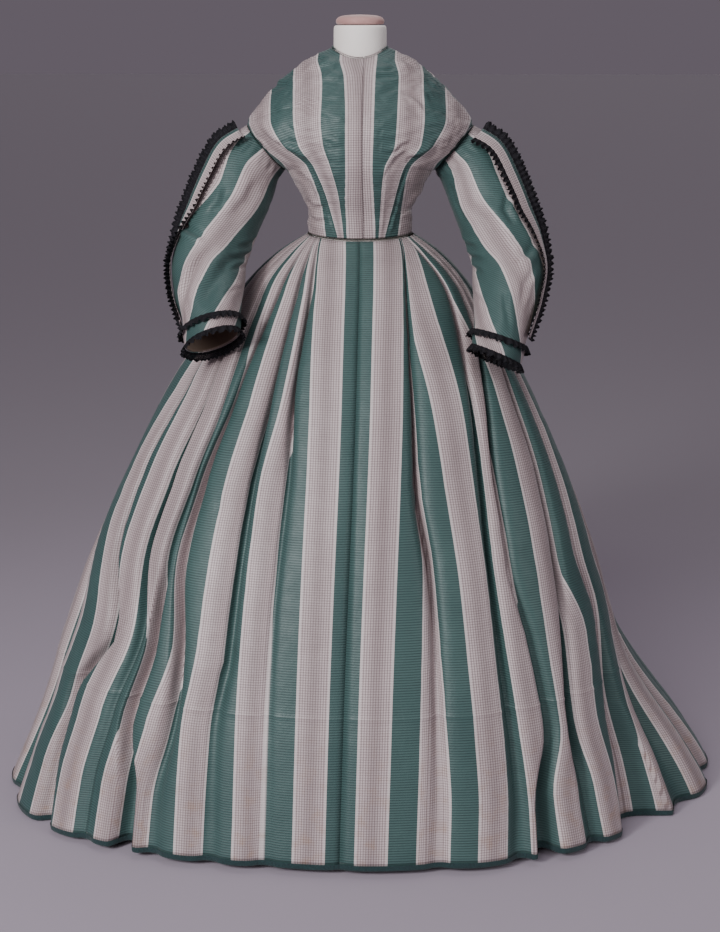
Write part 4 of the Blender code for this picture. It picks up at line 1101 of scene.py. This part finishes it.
def softened(points, times):
    """A line of points with its corners eased, its ends held."""
    for _ in range(times):
        inner = [(a + 2 * b + c) / 4 for a, b, c in zip(points, points[1:], points[2:])]
        points = [points[0]] + inner + [points[-1]]
    return points


def skirt_line(height, side):
    """The skirt's outer face at a height, from the centre front to the centre back."""
    points, far = half_ring(height, side)
    columns = fine_columns(turning_points(height, side, far[-1]))
    matched = 0.45 * far[-1]
    stretch = (far[-1] - matched) / (columns[-1][1] - matched)
    line = []
    i = 0
    for cloth, ring, depth in columns:
        if ring > matched:
            ring = matched + (ring - matched) * stretch
        ring = min(max(ring, 0.0), far[-1] * 0.999999)
        while far[i + 1] <= ring:
            i += 1
        t = (ring - far[i]) / (far[i + 1] - far[i])
        before = points[i] - points[i - 1] if i > 0 else points[1] - points[0]
        step = before.normalized().lerp((points[i + 1] - points[i]).normalized(), 0.5 + 0.5 * t)
        outward = Vector((step.y, -step.x, 0.0)).normalized() * side
        if i == 0 and t < 0.5:
            outward = Vector((0.0, -1.0, 0.0))
        p = points[i].lerp(points[i + 1], t)
        if side > 0:
            near = blend(TRAIN["middle"] - TRAIN["reach"], TRAIN["middle"], cloth)
            away = 1 - blend(TRAIN["middle"], TRAIN["middle"] + TRAIN["fade"], cloth)
            p += outward * TRAIN["push"] * near * away * (1 - blend(0.0, TRAIN["top"], height))
        p -= outward * depth
        lift = 0.010 * (1 - blend(0.42, 0.72, cloth)) * (1 - blend(0.0, 0.20, height))
        line.append(Vector((p.x, p.y, p.z + lift - waist_dip(p.y, height))))
    return [c[0] for c in columns], softened(line, 3)


SKIRT_LOW = 0.0098
SKIRT_TOP = WAIST - CORD - 0.0006
heights = [SKIRT_TOP - 0.006 * i for i in range(16)]
heights += [0.900 - 0.0125 * i for i in range(12)]
heights += [0.750 - 0.020 * i for i in range(24)]
heights += [0.2640, 0.2600, 0.2570, 0.2550, 0.2530, 0.2500, 0.2450]
heights += [0.230 - 0.018 * i for i in range(12)] + [0.018, SKIRT_LOW]
TUCK = 0.255              # the height of the stitched tuck above the hem
TUCK_OUT = 0.0011


def breadths(lines):
    """Splits lines round one side at the seams: for each breadth its points and cloth."""
    found = []
    marks = [0] + [lines[0][0].index(s) for s in SEAMS] + [len(lines[0][0]) - 1]
    for a, b in zip(marks, marks[1:]):
        found.append(([line[1][a:b + 1] for line in lines], [line[0][a:b + 1] for line in lines]))
    return found


def cloth_area(rows):
    """The area of a panel, in square metres."""
    total = 0.0
    for above, below in zip(rows, rows[1:]):
        for a, b, c, d in zip(above, above[1:], below, below[1:]):
            total += (d - a).cross(c - b).length / 2
    return total


# Creases by the place on the cloth, from the centre front towards the wearer's left, and height.
SKIRT_CREASES = (
    (0.0060, 0.0030, (0.104, 0.592), (0.116, 0.580), (0.130, 0.577)),
    (0.0060, 0.0030, (-0.118, 0.415), (-0.098, 0.445), (-0.080, 0.470)),
    (0.0070, 0.0026, (-0.018, 0.905), (0.000, 0.925), (0.018, 0.930)),
    (0.0060, 0.0022, (-0.060, 0.520), (-0.030, 0.540), (0.010, 0.532)),
    (0.0070, 0.0022, (0.030, 0.350), (0.055, 0.372), (0.070, 0.410)),
    (0.0070, 0.0022, (0.180, 0.330), (0.205, 0.356), (0.240, 0.362)),
    (0.0070, 0.0024, (-0.240, 0.300), (-0.205, 0.330), (-0.180, 0.372)),
    (0.0060, 0.0020, (-0.070, 0.190), (-0.045, 0.205), (-0.020, 0.200)),
    (0.0060, 0.0022, (0.230, 0.600), (0.248, 0.625), (0.262, 0.660)),
    (0.0060, 0.0022, (-0.300, 0.560), (-0.270, 0.585), (-0.250, 0.625)),
    (0.0080, 0.0026, (-0.620, 0.300), (-0.570, 0.340), (-0.540, 0.400)),
    (0.0080, 0.0026, (0.580, 0.260), (0.630, 0.300), (0.650, 0.370)),
    (0.0080, 0.0026, (1.150, 0.420), (1.200, 0.455), (1.260, 0.450)),
    (0.0080, 0.0026, (-1.500, 0.360), (-1.440, 0.400), (-1.400, 0.460)),
    (0.0080, 0.0026, (1.900, 0.300), (1.960, 0.330), (2.020, 0.325)),
)

sides = {side: breadths([skirt_line(h, side) for h in heights]) for side in (1, -1)}
skirt_pieces = {}
for number in range(5):
    for side, word in ((1, "left"), (-1, "right")):
        points, cloth = sides[side][number]
        if number == 4 and side < 0:
            continue
        if number == 4:
            others, across = sides[-1][4]
            rows = [a + b[-2::-1] for a, b in zip(points, others)]
            cloth = [a + [2 * HALF_CLOTH - u for u in b[-2::-1]] for a, b in zip(cloth, across)]
            name = "back"
        else:
            rows = points if side > 0 else [line[::-1] for line in points]
            cloth = cloth if side > 0 else [[-u for u in line[::-1]] for line in cloth]
            name = word + "_" + str(number + 1)
        around = normals(rows)
        shaped = []
        for r, (line, out) in enumerate(zip(rows, around)):
            new = []
            for c, (p, n) in enumerate(zip(line, out)):
                edge = min(1.0, min(c, len(line) - 1 - c) / 3) * min(1.0, r / 6)
                uneven = 0.0032 * noise.noise(Vector((p.x * 7, p.y * 7, p.z * 3)))
                uneven += crumpled(p, 0.080, 0.090, 0.0030)
                uneven += crease_at((cloth[r][c], heights[r]), SKIRT_CREASES)
                tuck = TUCK_OUT * math.exp(-(((heights[r] - TUCK) / (2 * TUCK_OUT)) ** 2))
                new.append(p + n * (uneven * edge * blend(0.02, 0.08, heights[r]) + tuck))
            shaped.append(new)
        far = row_lengths(shaped)
        cloth = [[(u, far[-1] - far[r]) for u in line] for r, line in enumerate(cloth)]
        piece = sewn("skirt_" + name + "_silk", shaped, cloth)
        dress(piece, "striped_silk", ["skirt_breadth_" + name], silk, lining)
        skirt_pieces[name] = (piece, far[-1], shaped[-1], round(cloth_area(shaped), 3))


# A woollen braid is folded over the hem and sewn through, one length to each breadth.

wool, start, shader = finish("hem_braid", Roughness=0.8, Sheen_Weight=0.15)
strands = speckle(start, 420.0, 2.0)
strands.rise(0.3, 0.7).mix((0.002, 0.016, 0.019), (0.006, 0.034, 0.036)).into(shader, "Base Color")
strands.raised(shader, 0.0010)

BRAID_TALL = 0.009
BRAID_THICK = 0.0032
BRAID_OVERLAP = 0.0014    # how far its two edges reach above the hem
BRAID_ROWS = 11
FLOOR_CLEAR = 0.0005
for name, (piece, long, edge, shown) in skirt_pieces.items():
    count = len(edge)
    rows = [[] for _ in range(BRAID_ROWS)]
    for i, p in enumerate(edge):
        step = (edge[min(i + 1, count - 1)] - edge[max(i - 1, 0)]).normalized()
        outward = Vector((step.y, -step.x, 0.0)).normalized()
        middle = p - outward * 0.0006
        for k in range(BRAID_ROWS):
            turn = math.pi * k / (BRAID_ROWS - 1)
            high = BRAID_OVERLAP if k in (0, BRAID_ROWS - 1) else 0.0
            out = outward * math.cos(turn) * BRAID_THICK / 2
            fall = -math.sin(turn) ** 0.7 * BRAID_TALL
            rows[k].append(middle + out + Vector((0.0, 0.0, fall + high)))
    rows = [[Vector((p.x, p.y, max(p.z, FLOOR_CLEAR))) for p in row] for row in rows]
    braid = woven_mesh("hem_braid_" + name + "_wool", rows)
    dress(braid, "hem_braid", ["hem_braid_" + name], wool)


# The dress stands on a plain pale studio floor in soft light, seen from a little above.

paper, start, shader = finish("studio_floor", Roughness=0.9)
place = start.node("TexCoord", output=3)
away = start.node("VectorMath", {"operation": "LENGTH"}, {0: place}, 1)
# Painted light: the floor's colour is lighter within about a metre of the dress and darker beyond 2.2 m,
# a painted pool of light round the dress.
away.rise(0.75, 2.2).mix((0.34, 0.292, 0.352), (0.278, 0.243, 0.281)).into(shader, "Base Color")
corners = [Vector((x, y, -0.0004)) for x, y in ((-60, -60), (60, -60), (60, 60), (-60, 60))]
floor = woven_mesh("studio_floor", [[corners[3], corners[2]], [corners[0], corners[1]]])
floor.data.materials.append(paper)

world = bpy.data.worlds.new("studio")
bpy.context.scene.world = world
world.use_nodes = True
world.node_tree.nodes["Background"].inputs["Color"].default_value = (0.40, 0.338, 0.412, 1.0)
world.node_tree.nodes["Background"].inputs["Strength"].default_value = 0.33


def lamp(kind, name, spot, aim, power, **settings):
    """A lamp that faces a point of the dress."""
    made = bpy.data.lights.new(name, kind)
    made.energy = power
    for setting, value in settings.items():
        setattr(made, setting, value)
    holder = bpy.data.objects.new(name, made)
    holder.location = spot
    holder.rotation_euler = (Vector(aim) - Vector(spot)).to_track_quat("-Z", "Y").to_euler()
    bpy.context.scene.collection.objects.link(holder)


lamp("SUN", "even_light", (-1.2, -3.0, 2.6), (0.0, 0.0, 0.6), 1.3, angle=math.radians(30))
lamp("AREA", "key_left", (-1.9, -2.9, 1.9), (0.0, 0.0, 0.80), 96, size=0.7)
lamp("AREA", "fill_right", (2.6, -2.2, 1.6), (0.0, 0.0, 0.6), 26, size=1.4)
lamp("AREA", "top", (0.2, 0.2, 3.4), (0.0, 0.0, 0.6), 18, size=1.4)
lamp("SUN", "fill_back", (0.8, 3.4, 1.9), (0.0, 0.2, 0.6), 0.35, angle=math.radians(60))

camera = bpy.data.cameras.new("camera")
camera.lens = 65.67
camera.sensor_width = 36.0
holder = bpy.data.objects.new("camera", camera)
holder.location = (0.144, -3.059, 1.34)
holder.rotation_euler = Euler((math.radians(75.8), 0.0, math.radians(2.7)))
bpy.context.scene.collection.objects.link(holder)
bpy.context.scene.camera = holder
